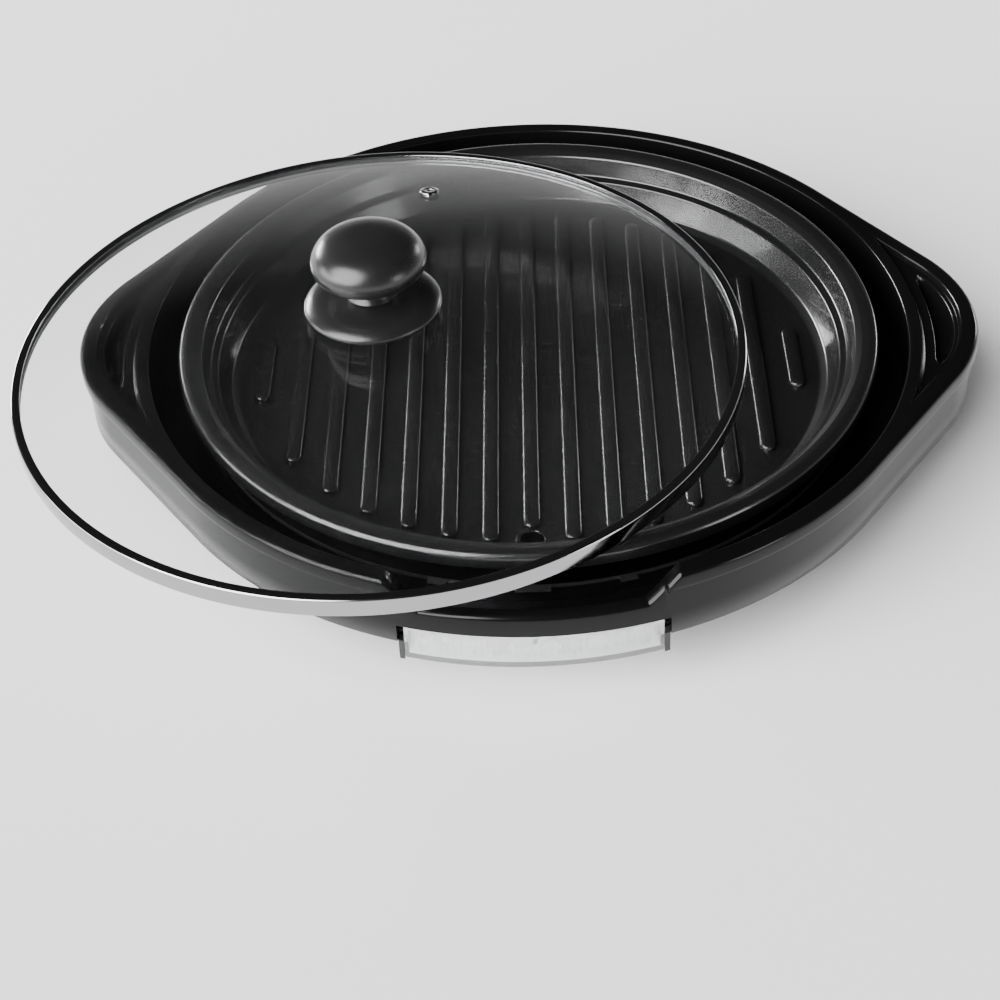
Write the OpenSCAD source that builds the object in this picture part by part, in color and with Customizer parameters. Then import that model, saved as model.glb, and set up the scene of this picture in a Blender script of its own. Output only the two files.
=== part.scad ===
// Round electric table griddle: ribbed lift-out plate in an eye-shaped base, glass lid, drip tray.
// Origin: on the table, under the middle of the plate. Front is -Y, up is +Z. Millimetres.

/* [Base] */
// Width of the gap between the plate and the wall of its well
well_gap = 14; // [11:0.5:17]
// Width of the top of the base, from the well to the outer edge
edge_w = 9; // [7.5:0.5:11]
// How far the handles reach beyond the round part of the base
handle_out = 26; // [21:1:32]
// Radius of the rounded tip of each handle
handle_tip_r = 83; // [69:1:100]
// Thickness of the moulded walls
wall = 2.2; // [1.8:0.1:2.6]
// Width of the raised edge that runs round the top of the base
rolled_edge = 8.5; // [7:0.5:10]
// How far the middle of the handles is sunk below the edge
handle_sink = 3; // [2:0.5:4]
// Length of the finger hollow in each handle
hollow_l = 78; // [65:1:94]
// Depth of the front notch below the top edge
notch_drop = 14.5; // [10:0.5:18]
// Half width of the front notch at its floor
notch_half_w = 49; // [40:1:59]
// Height of the feet
foot_h = 8; // [6:0.5:10]

/* [Plate] */
// Outer radius of the plate's rim
plate_r = 170; // [140:1:205]
// Depth of the cooking floor below the rim
plate_depth = 27; // [22:1:33]
// Wall thickness of the cast plate
plate_t = 3; // [2.5:0.1:3.6]
// Distance between the ribs
rib_pitch = 18.7; // [15:0.1:23]
// Width of one rib
rib_w = 8; // [6:0.5:10]
// Height of the ribs above the floor
rib_h = 3; // [2:0.5:4]
// Distance from the edge of the plate to the circle that the ribs end on
rib_inset = 37; // [31:1:44]
// Radius of the drain hole
drain_r = 5.5; // [4.5:0.5:6.5]

/* [Lid] */
// How far the lid reaches past the edge of the plate
lid_over = 5; // [4:0.5:6]
// Rise of the glass dome above its edge
lid_rise = 26; // [20:1:34]
// Thickness of the glass
glass_t = 4; // [3:0.5:5]
// Width of the steel band, seen from above
band_w = 4.5; // [3.5:0.5:5.5]
// How far the lid is pushed off centre
lid_shift = 76; // [64:1:91]
// Direction in which the lid is pushed, anticlockwise from the right
lid_shift_dir = 201; // [160:1:205]
// Diameter of the knob
knob_d = 54; // [45:1:65]
// Diameter of the flared disc under the knob
knob_disc_d = 65; // [54:1:78]

/* [Drip tray] */
// Width of the tray
tray_w = 113; // [94:1:136]
// Height of the front of the tray
tray_front_h = 17; // [14:0.5:20]

/* [Heating] */
// Diameter of the heating tube
element_d = 7; // [6:0.5:8.5]
// Gap between the heating tube and the wall of the dish
element_gap = 17.5; // [14:0.5:21]

/* [Hidden] */
$fn = 96;
eps = 0.01;
fit_gap = 0.3;
sheet = 0.6;

// Heights, from the table up: cover, skirt, shelf, dish, plate supports, plate, edge of the base
cover_t = 2.5;
floor_top = foot_h + cover_t;
skirt_z = foot_h + 25.5;
shelf_z = skirt_z + 0.5;
shelf_t = 2.9;
dish_floor_z = skirt_z - 13.5;
dish_ring_z = shelf_z + shelf_t + 0.1;
dish_rim_z = dish_ring_z + 9;
support_h = 2.4;
plate_bottom = dish_ring_z + sheet + support_h;
floor_z = plate_bottom + plate_t;
plate_z = floor_z + plate_depth;
edge_drop = 1.5;
base_top = plate_z - edge_drop;
bead_h = 8;
bead_step = 2;
notch_z = base_top - notch_drop;
notch_flare = 14;

// Plan sizes of the base
well_r = plate_r + well_gap;
base_r = well_r + edge_w;
handle_reach = base_r + handle_out;
tip_x = handle_reach - handle_tip_r;
tangent_a = acos((base_r - handle_tip_r) / tip_x);
shell_cavity_r = well_r + wall;
inner_lip = 6;
boss_d = 9;
pilot_d = 2.8;
screw_d = 3.6;
handle_boss = [handle_reach - 21, 25];
ring_screw_r = well_r - 1.5;
ring_screw_angles = [60, 120, 230, 310];

// Ribs and drain of the plate, the drain in front of the middle rib
rib_end_r = plate_r - rib_inset;
rib_pairs = floor((rib_end_r - 2) / rib_pitch);
drain_y = -rib_end_r + 2.5;
spout_t = 2.2;
spout_drop = 4.5;

// Tray and its guides; its back stops behind the drain
tray_t = 2;
tray_front_t = 2.4;
tray_z = skirt_z - 8.5;
tray_front_r = base_r - bead_step;
tray_basin_h = skirt_z - 0.5 - tray_z;
tray_back_y = drain_y + drain_r + tray_t;
guide_gap = 0.4;
guide_t = 2.4;
guide_x = tray_w / 2 + guide_gap;
bay_back_y = tray_back_y + 0.5;
bay_post_w = 7.2;

// Bottom cover: its flat floor just takes the posts of the tray's guides
tub_r = well_r - 4;
tub_floor_r = norm([guide_x + bay_post_w, bay_back_y - 6]) + 1.4;
foot_r = tub_floor_r - 19;
foot_angles = [45, 135, 225, 315];
stem_d = 6;
slot_pitch = 14;

// Reflector dish: its deep floor ends behind the tray, its ring lies under the plate
dish_step_r = -tray_back_y - 7;
dish_rim_r = plate_r - 8;
dish_screw_r = dish_rim_r - 5.5;
dish_screw_angles = [20, 160, 200, 340];
shelf_r = dish_screw_r - 4.5;
support_r = plate_r - 30;

// Heating ring
element_r = dish_step_r - element_gap - element_d / 2;
ring_z = plate_bottom - 1.8 - element_d / 2;
lead_z = shelf_z - 5.7;
lead_x = 14;
bend_swell = 0.4;

// Wiring behind the ring: inlet, its pins, terminal block and its bracket, from the back inwards
block_h = element_d + 3;
block_l = 18;
block_w = 52;
inlet_w = 50;
inlet_low = floor_top + 2.5;
inlet_top = skirt_z - cover_t - 0.4;
inlet_share = 0.4393;
inlet_y = [tub_floor_r + inlet_share * (tub_r - 2 - cover_t - tub_floor_r), well_r];
inlet_lug = 9;
inlet_wall = 2.6;
pin_z = (inlet_low + inlet_top) / 2;
pin_d = 4.8;
pin_collar_d = 6;
pin_pitch = 20;
pin_back_y = inlet_y[0] - 1;
pin_front_y = inlet_y[0] + 4;
pin_l = inlet_y[1] - 5.6 - pin_front_y;
block_y = [inlet_y[0] - 2.4 - block_l, inlet_y[0] - 2.4];
bracket_y = [block_y[0] - 7, block_y[1] - 5];
bracket_t = 1.2;
block_low = lead_z - block_h / 2;
wire_d = 2;
wire_y = bracket_y[0];
fuse_y = [wire_y - 13, wire_y - 1];
fuse_x = -34;
low_wire_z = floor_top + 3.5;

// Limiter in the middle of the dish
limiter_d = 17;
limiter_low = dish_floor_z + 7;
limiter_gap = 0.4;
limiter_hole = 20;

// Lid: where it rests on the rim of the plate and leans towards the edge of the base
lid_r = plate_r + lid_over;
band_in_r = lid_r - band_w;
lean_gap = 0.7;
function reach(r) = (r * r + lid_shift * lid_shift - band_in_r * band_in_r) / (2 * lid_shift);
lid_tilt = atan((edge_drop - lean_gap) / (reach(base_r) - reach(plate_r)));
lid_z = plate_z + fit_gap + reach(plate_r) * tan(lid_tilt) - lid_shift * tan(lid_tilt);
band_t = 1;
glass_edge_r = lid_r - band_t - 0.2;
glass_edge_z = band_t + 1.5;
dome_r = (glass_edge_r * glass_edge_r + lid_rise * lid_rise) / (2 * lid_rise);
dome_centre_z = glass_edge_z + lid_rise - dome_r;
inner_apex = glass_edge_z + lid_rise;
outer_apex = inner_apex + glass_t;
glass_top_z = dome_centre_z + sqrt(pow(dome_r + glass_t, 2) - band_in_r * band_in_r);
band_h = glass_top_z + 0.7 + band_t;
vent_r = lid_r - 58;
vent_dir = 79;
washer_t = 1;
knob_disc_h = 8.5;
knob_z = outer_apex + washer_t + knob_disc_h;

// ---- helpers -------------------------------------------------------------

module lift(z) translate([0, 0, z]) children();

module tube(r_out, r_in, h) {
  difference() {
    cylinder(r = r_out, h = h);
    lift(-1) cylinder(r = r_in, h = h + 2);
  }
}

module around(r, angles) {
  for (a = angles) rotate([0, 0, a]) translate([r, 0, 0]) children();
}

// The eye shape of the base, grown by d: a circle, two handle tips and the straight runs between
module outline(d) {
  circle(r = base_r + d, $fn = 180);
  for (side = [0, 180]) rotate(side) {
    translate([tip_x, 0]) circle(r = handle_tip_r + d, $fn = 120);
    polygon([for (p = [[0, base_r + d, 1], [tip_x, handle_tip_r + d, 1],
                       [tip_x, handle_tip_r + d, -1], [0, base_r + d, -1]])
             [p[0] + p[1] * cos(tangent_a), p[2] * p[1] * sin(tangent_a)]]);
  }
}

// A raised panhead screw, its shank pointing up (+Z) from the head at z = 0
module screw_up(shank_d, len, head_d, head_h) {
  difference() {
    union() {
      lift(-head_h) cylinder(d = head_d, h = head_h);
      lift(-eps) cylinder(d = shank_d, h = len);
    }
    lift(-head_h - eps) cylinder(d = head_d * 0.42, h = head_h * 0.6, $fn = 6);
  }
}

// ---- base shell ----------------------------------------------------------

// Sunken middle of the handles, as a crescent with pointed ends
module handle_recess(grow) {
  difference() {
    outline(-rolled_edge + grow);
    circle(r = well_r + inner_lip - grow, $fn = 180);
  }
}

// Deeper finger hollow in each handle
module finger_hollow(grow) {
  difference() {
    intersection() {
      outline(-rolled_edge - 2.5 + grow);
      square([3 * base_r, hollow_l + 2 * grow], center = true);
    }
    circle(r = well_r + inner_lip + 6.5 - grow, $fn = 180);
  }
}

// The front notch in the top edge, seen from the front
module notch_prism(grow) {
  top = base_top + 20;
  slope = notch_flare / notch_drop;
  top_half = notch_half_w + slope * (top - notch_z) + grow;
  translate([0, -well_r + 34, 0]) rotate([90, 0, 0]) linear_extrude(edge_w + 61)
    polygon([[-notch_half_w - grow, notch_z - grow], [notch_half_w + grow, notch_z - grow],
             [top_half + grow, top], [-top_half - grow, top]]);
}

module boss_places() {
  for (x = [-1, 1], y = [-1, 1]) translate([x * handle_boss[0], y * handle_boss[1], 0]) children();
}

// Everything hollow under the top skin
module shell_cavity() {
  difference() {
    lift(skirt_z - 1) linear_extrude(base_top - wall - 0.3 - skirt_z + 1) difference() {
      outline(-bead_step - wall);
      circle(r = shell_cavity_r, $fn = 180);
    }
    lift(base_top - handle_sink - wall) linear_extrude(20) handle_recess(wall);
    lift(base_top - 2 * handle_sink - wall - 3) linear_extrude(20) finger_hollow(wall);
    notch_prism(wall);
    boss_places() cylinder(d = boss_d, h = base_top);
    lift(shelf_z) tube(shell_cavity_r + 4, shell_cavity_r - 1, shelf_t);
  }
}

module base_shell() {
  color([0.04, 0.04, 0.045]) difference() {
    union() {
      difference() {
        union() {
          lift(base_top - bead_h) linear_extrude(bead_h) outline(0);
          lift(skirt_z) linear_extrude(base_top - bead_h - skirt_z + eps) outline(-bead_step);
        }
        lift(skirt_z - 1) cylinder(r = well_r, h = 80, $fn = 180);
        shell_cavity();
      }
      lift(shelf_z) tube(well_r + 1, shelf_r, shelf_t);
    }
    lift(base_top - handle_sink) linear_extrude(20) handle_recess(0);
    lift(base_top - 2 * handle_sink - 3) linear_extrude(20) finger_hollow(0);
    notch_prism(0);
    tray_slot();
    boss_places() lift(skirt_z - 1) cylinder(d = pilot_d, h = 18);
    lift(shelf_z - 1) around(ring_screw_r, ring_screw_angles) cylinder(d = pilot_d, h = 3.6);
    lift(shelf_z - 1) around(dish_screw_r, dish_screw_angles) cylinder(d = pilot_d, h = 6);
  }
}

// Opening in the skirt for the front of the tray
module tray_slot() {
  half = guide_x + guide_t + 0.4;
  top = tray_z + tray_front_h + 0.5;
  intersection() {
    translate([-half, -base_r - 10, tray_z]) cube([2 * half, base_r, top - tray_z]);
    tube(base_r + 10, tray_front_r - wall - 0.8, top + 1);
  }
}

// ---- underside -----------------------------------------------------------

module bottom_cover() {
  way_x = guide_x + guide_t + 0.5;
  way_y = sqrt(tub_floor_r * tub_floor_r - way_x * way_x);
  color([0.06, 0.06, 0.065]) difference() {
    union() {
      difference() {
        lift(skirt_z - cover_t) linear_extrude(cover_t) outline(-4.5);
        lift(skirt_z - cover_t - 1) cylinder(r = tub_r - cover_t, h = cover_t + 2);
      }
      rotate_extrude($fn = 180) polygon([
        [0, foot_h], [tub_floor_r, foot_h], [tub_r - 2, skirt_z - cover_t], [tub_r, skirt_z - cover_t],
        [tub_r, skirt_z], [tub_r - 2 - cover_t, skirt_z],
        [tub_floor_r - 1, foot_h + cover_t], [0, foot_h + cover_t]]);
    }
    // way out for the tray
    translate([-way_x, -base_r - 10, tray_z - 3]) cube([2 * way_x, base_r + 10 - way_y, 20]);
    // way in for the inlet
    translate([-inlet_w / 2 - guide_gap, pin_back_y - guide_gap, floor_top + 0.5])
      cube([inlet_w + 2 * guide_gap, 40, inlet_top + guide_gap - floor_top - 0.5]);
    boss_places() lift(skirt_z - 5) cylinder(d = screw_d, h = 8);
    lift(skirt_z - 5) around(ring_screw_r, ring_screw_angles) cylinder(d = screw_d, h = 8);
    lift(foot_h - 1) around(foot_r, foot_angles) cylinder(d = screw_d, h = 5);
    bay_screw_places() lift(foot_h - 1) cylinder(d = screw_d, h = 5);
    inlet_screw_places() lift(skirt_z - 5) cylinder(d = pilot_d, h = 8);
    lift(foot_h - 1) cylinder(d = stem_d + 0.4, h = 5);
    // air slots under the dish, on both sides of the middle foot
    for (side = [-1, 1], i = [1:3]) translate([side * (slot_pitch * i + 2) - 2, -40, foot_h - 1])
      cube([4, 80, cover_t + 2]);
  }
}

module bay_screw_places() {
  for (x = [-1, 1]) translate([x * (guide_x + 4.4), tray_back_y - 1.3, 0]) children();
}

module inlet_screw_places() {
  for (x = [-1, 1]) translate([x * (inlet_w + inlet_lug) / 2, inlet_y[1] - 3, 0]) children();
}

module cover_screws() {
  color([0.62, 0.62, 0.64]) {
    boss_places() lift(skirt_z - cover_t) screw_up(2.8, 14, 6.4, 2.2);
    lift(skirt_z - cover_t) around(ring_screw_r, ring_screw_angles) screw_up(2.8, 5.4, 6.4, 2.2);
  }
}

module rubber_feet() {
  color([0.03, 0.03, 0.03]) {
    around(foot_r, foot_angles) difference() {
      cylinder(r1 = 10, r2 = 12, h = foot_h);
      lift(-1) cylinder(d = 9, h = 4.5);
      lift(-1) cylinder(d = screw_d, h = foot_h + 2);
    }
    // the middle foot is held by its own stem
    cylinder(r1 = 10, r2 = 12, h = foot_h);
    lift(foot_h - eps) cylinder(d = stem_d, h = cover_t + 2);
  }
}

module foot_screws() {
  color([0.62, 0.62, 0.64]) around(foot_r, foot_angles) lift(3.5) screw_up(screw_d, foot_h, 7, 2.2);
}

// ---- reflector -----------------------------------------------------------

module reflector_dish() {
  color([0.72, 0.72, 0.74]) difference() {
    union() {
      rotate_extrude($fn = 180) polygon([
        [0, dish_floor_z], [dish_step_r, dish_floor_z], [dish_step_r, dish_ring_z],
        [dish_rim_r, dish_ring_z], [dish_rim_r, dish_rim_z], [dish_rim_r - sheet, dish_rim_z],
        [dish_rim_r - sheet, dish_ring_z + sheet], [dish_step_r - sheet, dish_ring_z + sheet],
        [dish_step_r - sheet, dish_floor_z + sheet], [0, dish_floor_z + sheet]]);
      dish_tab(-90, 16);
      dish_tab(-75, 8);
      dish_tab(-105, 8);
      dish_tab(90, 16);
    }
    // hole for the spout of the plate
    translate([0, drain_y, dish_ring_z - 3]) cylinder(r = drain_r + spout_t + 3, h = 6);
    // holes for the leads of the heating ring
    for (x = [-1, 1]) translate([x * lead_x, dish_step_r - 24, lead_z]) rotate([-90, 0, 0])
      cylinder(d = element_d + 2, h = 40);
    // hole for the wires of the limiter
    translate([0, limiter_d / 2 + 2.5, dish_floor_z - 1]) cylinder(d = limiter_hole, h = 4);
    lift(dish_ring_z - 1) around(dish_screw_r, dish_screw_angles) cylinder(d = 3.2, h = 4);
  }
}

// A tongue at the edge of the dish, bent outwards
module dish_tab(a, w) {
  rotate([0, 0, a]) translate([dish_rim_r - sheet, -w / 2, dish_rim_z - sheet]) cube([4, w, sheet]);
}

module reflector_screws() {
  color([0.62, 0.62, 0.64]) lift(dish_ring_z + sheet) around(dish_screw_r, dish_screw_angles)
    rotate([180, 0, 0]) screw_up(2.8, 3.4, 5.6, 1.6);
}

module plate_supports() {
  color([0.7, 0.7, 0.72]) lift(dish_ring_z + sheet) around(support_r, [45, 135, 225, 315]) difference() {
    translate([-5, -11, 0]) cube([10, 22, support_h]);
    translate([-6, -6, -1]) cube([12, 12, support_h - 0.2]);
  }
}

// ---- heating -------------------------------------------------------------

module heating_element() {
  gap_a = asin(lead_x / element_r);
  drop_y = element_r * cos(gap_a);
  color([0.3, 0.3, 0.32]) {
    rotate([0, 0, 90 + gap_a]) lift(ring_z) rotate_extrude(angle = 360 - 2 * gap_a, $fn = 120)
      translate([element_r, 0]) circle(d = element_d, $fn = 32);
    for (x = [-1, 1]) translate([x * lead_x, drop_y, 0]) {
      lift(ring_z) sphere(d = element_d + bend_swell, $fn = 32);
      lift(lead_z) cylinder(d = element_d, h = ring_z - lead_z, $fn = 32);
      lift(lead_z) sphere(d = element_d + bend_swell, $fn = 32);
      lift(lead_z) rotate([-90, 0, 0]) cylinder(d = element_d, h = block_y[1] - 6 - drop_y, $fn = 32);
    }
  }
}

module element_clips() {
  seat_z = ring_z - element_d / 2 - 1.2;
  foot_z = dish_floor_z + sheet;
  color([0.7, 0.7, 0.72]) difference() {
    union() {
      around(element_r, [0, 180, 270]) {
        translate([-6, -4, seat_z]) cube([12, 8, ring_z - seat_z]);
        translate([-0.6, -4, foot_z]) cube([1.2, 8, seat_z - foot_z + 0.1]);
        translate([-6, -4, foot_z]) cube([12, 8, 1]);
      }
    }
    lift(ring_z) rotate_extrude($fn = 120) translate([element_r, 0]) circle(d = element_d + 0.1, $fn = 32);
  }
}

module terminal_block() {
  color([0.9, 0.88, 0.82]) difference() {
    translate([-block_w / 2, block_y[0], block_low]) cube([block_w, block_l, block_h]);
    for (x = [-1, 1]) translate([x * lead_x, block_y[0] - 1, lead_z]) rotate([-90, 0, 0])
      cylinder(d = element_d + 0.1, h = block_l - 4, $fn = 32);
    for (x = [-1, 1]) translate([x * 22, block_y[0] + 9, block_low - 1]) cylinder(d = 3.2, h = block_h + 2);
  }
}

module terminal_bracket() {
  plate_low = block_low - bracket_t;
  leg_y = sqrt(pow(tub_floor_r - 1.5, 2) - 400) - bracket_y[0];
  color([0.7, 0.7, 0.72]) {
    translate([-block_w / 2, bracket_y[0], plate_low])
      cube([block_w, bracket_y[1] - bracket_y[0], bracket_t]);
    for (x = [-20, 19]) translate([x, bracket_y[0], floor_top]) cube([1, leg_y, plate_low - floor_top + 0.1]);
    for (x = [-20, 10]) translate([x, bracket_y[0], floor_top]) cube([10, leg_y, 1]);
  }
}

module inlet_housing() {
  color([0.09, 0.08, 0.08]) difference() {
    union() {
      translate([-inlet_w / 2, inlet_y[0], inlet_low])
        cube([inlet_w, inlet_y[1] - inlet_y[0], inlet_top - inlet_low]);
      translate([-inlet_w / 2 - inlet_lug, inlet_y[1] - 6, inlet_top - 3])
        cube([inlet_w + 2 * inlet_lug, 6, 3]);
    }
    translate([-inlet_w / 2 + 3, inlet_y[0] + 3, inlet_low + inlet_wall])
      cube([inlet_w - 6, inlet_y[1] - inlet_y[0], inlet_top - inlet_low - 2 * inlet_wall]);
    for (x = [-1, 1]) translate([x * pin_pitch / 2, inlet_y[0] - 1, pin_z]) rotate([-90, 0, 0])
      cylinder(d = pin_collar_d + 0.1, h = 6, $fn = 32);
    translate([-3.05, inlet_y[0] - 1, pin_z - 0.55]) cube([6.1, 6, 1.1]);
    inlet_screw_places() lift(inlet_top - 5) cylinder(d = screw_d, h = 8);
  }
}

module inlet_pins() {
  color([0.78, 0.78, 0.8]) {
    for (x = [-1, 1]) translate([x * pin_pitch / 2, 0, pin_z]) rotate([-90, 0, 0]) {
      lift(pin_back_y) cylinder(d = pin_collar_d, h = pin_front_y - pin_back_y, $fn = 32);
      lift(pin_front_y - eps) cylinder(d = pin_d, h = pin_l + eps, $fn = 32);
      lift(pin_front_y + pin_l - eps) cylinder(d1 = pin_d, d2 = 3, h = 1.5, $fn = 32);
    }
    translate([-3, pin_back_y, pin_z - 0.5]) cube([6, 17, 1]);
  }
}

module inlet_screws() {
  color([0.62, 0.62, 0.64]) inlet_screw_places() lift(inlet_top - 3) screw_up(pilot_d, 5.6, 6, 1.8);
}

module thermal_limiter() {
  color([0.85, 0.83, 0.78]) difference() {
    union() {
      lift(limiter_low) cylinder(d = limiter_d, h = plate_bottom - limiter_gap - limiter_low);
      lift(limiter_low) translate([-12, -4, 0]) cube([24, 8, 1]);
      for (x = [-5.5, 5.5]) translate([x - 0.4, limiter_d / 2 - 2.5, limiter_low + 1.5]) cube([0.8, 8, 5]);
    }
    for (x = [-1, 1]) translate([x * 10.3, 0, limiter_low - 1]) cylinder(d = 2, h = 4, $fn = 24);
  }
}

module limiter_bracket() {
  z0 = dish_floor_z + sheet;
  color([0.7, 0.7, 0.72]) difference() {
    union() {
      translate([-24, -6, limiter_low - 1]) cube([48, 12, 1]);
      for (x = [-24, 23]) translate([x, -6, z0]) cube([1, 12, limiter_low - z0]);
      for (x = [-32, 23]) translate([x, -6, z0]) cube([9, 12, 1]);
    }
    for (x = [-1, 1]) translate([x * 10.3, 0, limiter_low - 2]) cylinder(d = 2, h = 4, $fn = 24);
  }
}

module thermal_fuse() {
  color([0.8, 0.8, 0.7]) translate([fuse_x, fuse_y[0], low_wire_z]) rotate([-90, 0, 0])
    cylinder(d = 4, h = fuse_y[1] - fuse_y[0], $fn = 32);
}

function unit(v) = v / norm(v);

// Direction of a route at point i: the mean of the runs on its two sides
function heading(p, i) =
  unit((i > 0 ? unit(p[i] - p[i - 1]) : [0, 0, 0]) + (i < len(p) - 1 ? unit(p[i + 1] - p[i]) : [0, 0, 0]));

// A wire swept along the given points, with one ring of corners at each
module wire(points, d) {
  sides = 8;
  last = len(points) - 1;
  corners = [for (i = [0:last]) let (u = unit(cross(heading(points, i), [1, 0, 0])),
                                     v = cross(heading(points, i), u))
             for (k = [0:sides - 1])
               points[i] + d / 2 * (cos(k * 360 / sides) * u + sin(k * 360 / sides) * v)];
  walls = [for (i = [0:last - 1], k = [0:sides - 1])
           let (a = i * sides + k, b = i * sides + (k + 1) % sides)
           each [[a, b, b + sides], [a, b + sides, a + sides]]];
  polyhedron(corners, concat([[for (k = [sides - 1:-1:0]) k]], walls,
                             [[for (k = [0:sides - 1]) last * sides + k]]));
}

module internal_wires() {
  end = wire_d / 2;
  pin_x = pin_pitch / 2;
  from_pin = [pin_x, pin_back_y - end, pin_z];
  dip = [pin_x, bracket_y[1] + 1, block_low - bracket_t - 2];
  lead_y = wire_y - 2.5;
  lead_end = lead_z - element_d / 2 - end;
  tag_y = limiter_d / 2 + 5.5 + end;
  color([0.85, 0.82, 0.75]) {
    wire([[-from_pin[0], from_pin[1], from_pin[2]], [-dip[0], dip[1], dip[2]],
          [fuse_x, fuse_y[1] + 6, low_wire_z], [fuse_x, fuse_y[1] + end, low_wire_z]], wire_d);
    wire([[fuse_x, fuse_y[0] - end, low_wire_z], [-30, wire_y - 19, low_wire_z],
          [-18, wire_y - 6.5, low_wire_z], [-lead_x, lead_y, dish_floor_z],
          [-lead_x, lead_y, lead_end]], wire_d);
    wire([from_pin, dip, [8, wire_y - 5, floor_top + 3], [5.5, 16, floor_top + 3],
          [5.5, tag_y, limiter_low + 4]], wire_d);
    wire([[-5.5, tag_y, limiter_low + 4], [-5.5, 16, floor_top + 7], [2, wire_y - 23, floor_top + 7],
          [lead_x, lead_y, dish_floor_z], [lead_x, lead_y, lead_end]], wire_d);
  }
}

module earth_wire() {
  end = wire_d / 2;
  color([0.35, 0.55, 0.2])
    wire([[0, pin_back_y - end, pin_z], [0, bracket_y[1] + 1, block_low - bracket_t - 2],
          [-8, wire_y - 5, floor_top + 6.5], [-20, wire_y - 31, dish_floor_z - end]], wire_d);
}

// ---- guides of the tray --------------------------------------------------

module tray_bay() {
  back = bay_back_y;
  z0 = tray_z - 2.6;
  z1 = skirt_z - 0.2;
  color([0.05, 0.05, 0.055]) difference() {
    intersection() {
      union() {
        for (side = [0, 1]) mirror([side, 0, 0]) {
          translate([guide_x, -tray_front_r + 1, z0]) cube([guide_t, back + tray_front_r + 1.4, z1 - z0]);
          translate([guide_x - 4, -tray_front_r + 16, z0]) cube([4.1, back + tray_front_r - 16, 2.3]);
          translate([guide_x, back - 6, floor_top]) cube([bay_post_w, 8.4, tray_z - floor_top]);
        }
        translate([-guide_x - guide_t, back, z0]) cube([2 * (guide_x + guide_t), 2.4, z1 - z0]);
      }
      cylinder(r = tray_front_r - 1, h = 60, $fn = 180);
    }
    bay_screw_places() lift(foot_h) cylinder(d = pilot_d, h = 13);
  }
}

module bay_screws() {
  color([0.62, 0.62, 0.64]) bay_screw_places() lift(foot_h) screw_up(2.8, 12, 6, 2);
}

module drip_tray() {
  color([0.85, 0.88, 0.9, 0.5]) difference() {
    intersection() {
      union() {
        translate([-tray_w / 2, -base_r, tray_z]) cube([tray_w, tray_back_y + base_r, tray_basin_h]);
        translate([-tray_w / 2, -base_r, tray_z]) cube([tray_w, base_r, tray_front_h]);
      }
      difference() {
        cylinder(r = tray_front_r, h = 60, $fn = 180);
        lift(tray_z + tray_basin_h) cylinder(r = tray_front_r - tray_front_t, h = 60, $fn = 180);
      }
      translate([-base_r, -base_r, 0]) cube([2 * base_r, tray_back_y + base_r, 60]);
    }
    intersection() {
      translate([-tray_w / 2 + tray_t, -base_r, tray_z + tray_t])
        cube([tray_w - 2 * tray_t, tray_back_y - tray_t + base_r, 60]);
      cylinder(r = tray_front_r - tray_front_t, h = 60, $fn = 180);
    }
  }
}

// ---- plate ---------------------------------------------------------------

// One rib: a bar with round ends that stops at the circle of the rib ends
module rib(x) {
  half = sqrt(rib_end_r * rib_end_r - x * x) - rib_w / 2;
  front = x == 0 ? -drain_y - drain_r - 6 : half;
  translate([x, 0, floor_z - eps]) linear_extrude(rib_h) {
    translate([-rib_w / 2, -front]) square([rib_w, front + half]);
    translate([0, -front]) circle(d = rib_w, $fn = 32);
    translate([0, half]) circle(d = rib_w, $fn = 32);
  }
}

module grill_plate() {
  // The inside of the bowl from the floor out to the rim: radius and height from the rim
  bowl = [[plate_r - 27, -plate_depth], [plate_r - 23, -plate_depth + 2.5], [plate_r - 18, -13],
          [plate_r - 14.5, -12], [plate_r - 11.5, -2.5], [plate_r - 8, 0]];
  // How far the outside lies outwards and down from each of these points, in wall thicknesses
  skin = [[1, 1], [0.87, 0.63], [0.87, 0.73], [0.97, 0.73], [1.03, 0.37], [0.2, 0.93]];
  brim_h = 8;
  brim_t = 2.4;
  color([0.05, 0.05, 0.055]) difference() {
    union() {
      lift(plate_z) rotate_extrude($fn = 180) polygon(concat(
        [[0, -plate_depth]], bowl, [[plate_r - 1.2, 0], [plate_r, -1.2], [plate_r, -brim_h],
         [plate_r - brim_t, -brim_h], [plate_r - brim_t, -0.93 * plate_t]],
        [for (i = [5:-1:0]) bowl[i] + plate_t * [skin[i][0], -skin[i][1]]],
        [[0, -plate_depth - plate_t]]));
      for (i = [-rib_pairs:rib_pairs]) rib(i * rib_pitch);
      // low collar round the drain hole, and the spout under it
      translate([0, drain_y, floor_z - eps]) cylinder(r = drain_r + spout_t, h = 1.2);
      translate([0, drain_y, plate_bottom - spout_drop])
        cylinder(r = drain_r + spout_t, h = spout_drop + 0.5);
    }
    translate([0, drain_y, plate_bottom - spout_drop - 1]) cylinder(r = drain_r, h = 20);
  }
}

// ---- lid -----------------------------------------------------------------

module lid_place() {
  translate([lid_shift * cos(lid_shift_dir), lid_shift * sin(lid_shift_dir), lid_z])
    rotate([0, 0, lid_shift_dir]) rotate([0, lid_tilt, 0]) rotate([0, 0, -lid_shift_dir]) children();
}

module vent_place() {
  a = asin(vent_r / dome_r);
  rotate([0, 0, vent_dir]) lift(dome_centre_z) rotate([0, a, 0]) lift(dome_r) children();
}

module lid_glass() {
  color([0.8, 0.85, 0.88, 0.3]) lid_place() difference() {
    rotate_extrude($fn = 180) intersection() {
      translate([0, dome_centre_z]) difference() {
        circle(r = dome_r + glass_t, $fn = 720);
        circle(r = dome_r, $fn = 720);
      }
      square([glass_edge_r, 80]);
    }
    lift(inner_apex - 5) cylinder(d = 8, h = 20);
    vent_place() lift(-5) cylinder(d = 5.2, h = 15, $fn = 32);
  }
}

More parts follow.
